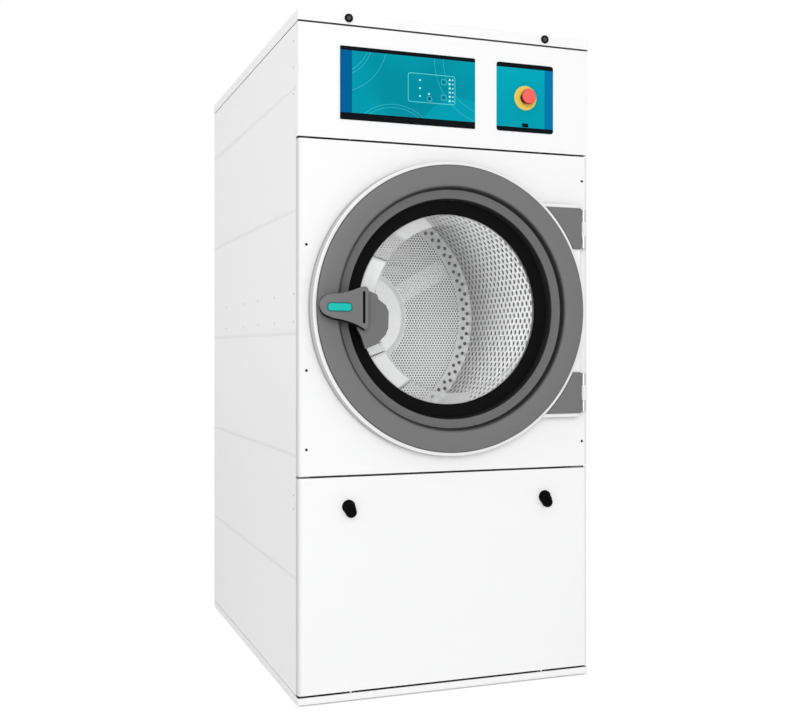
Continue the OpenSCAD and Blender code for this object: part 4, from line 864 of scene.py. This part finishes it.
# The drum is stainless sheet, rolled and welded, with round perforations in staggered rows. Its back is a dished plate
# with two rows of the same holes, a finely perforated field, and a plain raised disc over the shaft's flange. The back
# plate darkens near its outer edge and the shell towards the back, a painted shade in the corner between them.
def cell_mesh(name, border, hole_r, sides, thickness):
    form = bmesh.new()
    levels = []
    for depth in (0, thickness / 1000):
        outer = [form.verts.new((u / 1000, v / 1000, depth)) for u, v in border]
        turns = [math.tau * (i + 0.5) / sides for i in range(sides)]
        inner = [form.verts.new((hole_r / 1000 * math.cos(t), hole_r / 1000 * math.sin(t), depth)) for t in turns]
        edges = [form.edges.new((loop[i], loop[(i + 1) % len(loop)])) for loop in (outer, inner)
                 for i in range(len(loop))]
        faces = [part for part in bmesh.ops.triangle_fill(form, edges=edges, use_beauty=True)["geom"]
                 if isinstance(part, bmesh.types.BMFace)]
        for face in faces:
            face.normal_update()
            if (face.normal.z > 0) != (depth > 0):
                face.normal_flip()
        levels.append(inner)
    for i in range(sides):
        j = (i + 1) % sides
        form.faces.new((levels[0][i], levels[1][i], levels[1][j], levels[0][j]))
    mesh = bpy.data.meshes.new(name)
    form.to_mesh(mesh)
    form.free()
    return mesh


def placed(geometry, x, y, z):
    place = wire(geometry.tree, "ShaderNodeCombineXYZ", {0: x, 1: y, 2: z})
    return wire(geometry.tree, "GeometryNodeSetPosition", {"Geometry": geometry, "Position": place})


def perforated(name, form, cell, finish, **sizes):
    tree, keys, get = geometry_group(name + "_layout", {
        "Shape": "Object", "Around": "Int", "Rows": "Int", "Pitch": "Float", "Start": "Float", "Radius": "Float",
        "Depth": "Float", "Height": "Float", "Finish": "Material",
    })
    points = wire(tree, "GeometryNodePoints", {"Count": get["Around"] * get["Rows"]})
    index = wire(tree, "GeometryNodeInputIndex")
    row = ((index + 0.5) / get["Around"]).maths("FLOOR")
    column = index - row * get["Around"] + row.maths("PINGPONG", 1.0) * 0.5
    if form == "field":
        across = (column + get["Around"] * -0.5) * get["Pitch"]
        up = (row + get["Rows"] * -0.5) * (get["Pitch"] * (math.sqrt(3) / 2))
        far = across.maths("MULTIPLY_ADD", across, up * up).maths("SQRT")
        beyond = far.maths("LESS_THAN", get["Start"]) + far.maths("GREATER_THAN", get["Radius"])
        points = {"Geometry": placed(points, across, up, 0.0), "Selection": beyond}
        points = wire(tree, "GeometryNodeDeleteGeometry", points)
    else:
        across = column * (get["Radius"] * math.tau / get["Around"])
        points = placed(points, across, (row + 0.5).maths("MULTIPLY_ADD", get["Pitch"], get["Start"]), 0.0)
    cells = stamped(tree, get, points)
    here = split(wire(tree, "GeometryNodeInputPosition"))
    if form == "field":
        cells = placed(cells, here[0], get["Depth"] + here[2], get["Height"] + here[1])
    else:
        turn = here[0] / get["Radius"]
        radius = get["Radius"] + here[2] if form == "rolled_shade" else here[1]
        depth = here[1] if form == "rolled_shade" else get["Depth"] + here[2]
        height = radius.maths("MULTIPLY_ADD", turn.maths("SINE"), get["Height"])
        cells = placed(cells, radius * turn.maths("COSINE"), depth, height)
    joined = wire(tree, "GeometryNodeMergeByDistance", {"Geometry": cells, "Distance": 0.00002})
    finished(tree, joined, get["Finish"])
    mesh = grown(name, tree, keys, bpy.data.meshes.new(name + "_points"), cell, finish, **sizes)
    mesh.shade_smooth()
    mesh.set_sharp_from_angle(angle=math.radians(35))
    return mesh


drum_steel = brushed("drum_steel", (0.9, 0.902, 0.905), (260, 5, 260), 0.12, 0.32, 0.4)
# Painted shade: the back plate darker near its outer edge.
shaded(drum_steel, ramp(distance_from(drum_steel.tree, 0, door_centre), 0.325, 0.345) * -0.25 + 1.0)
shell_steel = brushed("shell_steel", (0.93, 0.932, 0.935), (260, 5, 260), 0.12, 0.32, 0.35)
# Painted shade: the shell darker towards the back.
shaded(shell_steel, by_depth(
    shell_steel, (70, 1.0), (400, 0.97), (530, 0.82), (630, 0.54), (700, 0.38), (746, 0.46)
))
drum_r, holes_around, row_pitch, fine_pitch = 375.0, 70, 14.4, 9.3
half_cell, half_row = math.pi * drum_r / holes_around, row_pitch / 2
cell_border = [(-half_cell, -half_row), (0, -half_row), (half_cell, -half_row), (half_cell, half_row), (0, half_row),
               (-half_cell, half_row)]
drum_sizes = {"Around": holes_around, "Pitch": row_pitch / 1000, "Radius": drum_r / 1000, "Height": door_centre / 1000}


def show_steel(name, mesh, replaces=()):
    show(name, mesh, "drum", replaces=replaces)


def show_turned(name, profile, steps):
    show(name, turned_mesh(name, profile, steps, at(0, 0, door_centre)), "drum", drum_steel)


show_steel("perforated_shell", perforated(
    "perforated_shell", "rolled_shade", cell_mesh("shell_cell", cell_border, 7.5, 10, 2.0), shell_steel, Rows=45,
    Start=at(0, 82, 0).y, **drum_sizes,
), ["drum_shell"])
show_turned("drum_mouth", [
    (304, 64.6), (304.6, 64), (305.6, 64), (306, 64.6), (306, 69.2), (307.2, 70), (374.6, 70), (376.6, 70.6),
    (377.2, 72.4), (377.2, 82.6), (374.9, 82.6), (374.9, 73.4), (374, 72.2), (306, 72), (304.6, 71.4), (304, 70),
], 192)
show_steel("back_ring_holes", perforated(
    "back_ring_holes", "dished", cell_mesh("ring_cell", cell_border, 6.5, 10, 2.0), drum_steel, Rows=2, Start=0.3458,
    Depth=at(0, 745.4, 0).y, **drum_sizes,
), ["drum_back"])
show("back_rims", lofted_mesh("back_rims", [
    [at(x, y, z) for x, z in arc(0, door_centre, r, 0, 360, 192)[:-1]]
    for r, y in ((337.5, 745.9), (338.3, 745.2), (346.2, 745.2), (346.2, 747.7), (337.5, 747.7))
]), "drum", drum_steel)
show_turned("shell_end", [
    (374.9, 729.6), (377.2, 729.6), (377.2, 745.6), (376.6, 747.3), (375, 748), (373.6, 748), (373.6, 745.2),
    (374.4, 744.6), (374.9, 743.6),
], 192)
show_steel("back_fine_holes", perforated(
    "back_fine_holes", "field", cell_mesh("fine_cell", arc(0, 0, fine_pitch / math.sqrt(3), 30, 330, 5), 3.25, 8, 1.5),
    drum_steel, Around=78, Rows=90, Pitch=fine_pitch / 1000, Start=0.139, Radius=0.3405, Depth=at(0, 746.0, 0).y,
    Height=door_centre / 1000,
))
show_turned("hub_disc", [
    (0, 736), (60, 736), (128, 736.4), (134, 737.4), (139, 740), (147, 744.4), (152, 745.6), (152.4, 746.8),
    (149, 747.9), (0, 747.9),
], 160)
dress(drum_steel, "drum_lifters")


# A felt ring on the front bulkhead keeps the air in as the drum turns past it.
dress(skinned("pressed_felt", (0.3, 0.27, 0.23), 0.95, 1800, 25, 0.3, 0.0004), "felt_seal")


# The drive behind the drum: a cast bearing housing and pulleys in grey paint, a ribbed rubber belt, and a motor in
# blue-grey paint. The fan's motor has the same finish.
cast_paint = skinned("cast_paint", (0.11, 0.112, 0.12), 0.5, 260, 12, 0.15, 0.0003)
dress(cast_paint, "bearing_housing", "drum_pulley", "motor_pulley")
dress(skinned("motor_enamel", (0.09, 0.12, 0.15), 0.38, 500, 9, 0.1, 0.00008), "drum_motor", "fan_motor")
dress(skinned("belt_rubber", (0.012, 0.012, 0.012), 0.65, 700, 40, 0.3, 0.0001), "drive_belt")


# In the air path the heating tubes are steel that the heat has turned brown, and the lint filter is a grey frame with
# fine mesh.
tube_heat = Finish("heated_tube", (0.2, 0.14, 0.1), 0.45, metallic=0.7)
tone = ramp(clouds(tube_heat.tree, 22.0, 3.0), 0.35, 0.65)
tube_heat.feed("Base Color", blended(tone, (0.26, 0.2, 0.16), (0.13, 0.09, 0.1)))
dress(tube_heat, "heater_elements")
thread_pitch = 1.6
cloth = Finish("filter_cloth", (0.3, 0.3, 0.31), 0.6)
across, depth, _ = places(cloth.tree)
threads = [(place * (1000 / thread_pitch)).maths("PINGPONG", 1.0) for place in (across, depth)]
weave = threads[0] | threads[1]
cloth.feed("Base Color", blended(ramp(weave, 0.55, 0.8), (0.1, 0.1, 0.105), (0.36, 0.36, 0.37)))
bumped(cloth, weave, 0.0003)
dress(cloth, "lint_filter")


# The keypad's circuit board has copper tracks under green lacquer.
board = Finish("board_lacquer", (0.01, 0.1, 0.04), 0.35, coat=0.3)
track = {"Vector": spot(board.tree), "Scale": 260.0}
track = wire(board.tree, "ShaderNodeTexVoronoi", track, "Distance", distance="CHEBYCHEV", feature="DISTANCE_TO_EDGE")
board.feed("Base Color", blended(ramp(track, 0.04, 0.07), (0.05, 0.2, 0.07), (0.01, 0.09, 0.035)))
dress(board, "keypad_board")


# At the back, pressed hoods keep water out of the air slots, pan-head screws hold the rear panel, and a black moulded
# gland takes the supply cable.
dress(skinned("gland_black", (0.012, 0.012, 0.013), 0.5, 900, 40, 0.2, 0.00005), "cable_gland")
hood_line = [(0, 0), (0.9, 0.6), (2.6, 2.2), (4.6, 4.6), (5.2, 6.2), (4.4, 6.2), (2.0, 3.6), (0.2, 1.6)]
hood_ends = [[(x / 1000, out / 1000, -up / 1000) for out, up in hood_line] for x in (-186, 186)]
hood = lofted_mesh("hood", hood_ends, "capped")
first_slot, slot_pitch, rear_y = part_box("heater_box")[0].z * 1000 + 106.25, 16, 1135
hood_points = [at(0, rear_y, first_slot + i * slot_pitch) for i in range(8)]
show("louvre_hoods", stamped_mesh("louvre_hoods", hood_points, hood, powder_coat), "cabinet")
rear_points = [at(x, rear_y, z) for z in (40, 360, 680, 1000, 1320, 1640) for x in (-380, 380)]
rear_points += [at(x, rear_y, z) for z in (40, 1640) for x in (-127, 127)]
rear_head = screw_head(4.0, 2.0, 1.6)
rear_head.transform(Matrix.Rotation(math.pi, 4, "Z"))
show("rear_screws", stamped_mesh("rear_screws", rear_points, rear_head, rivet_zinc, any_turn), "cabinet")
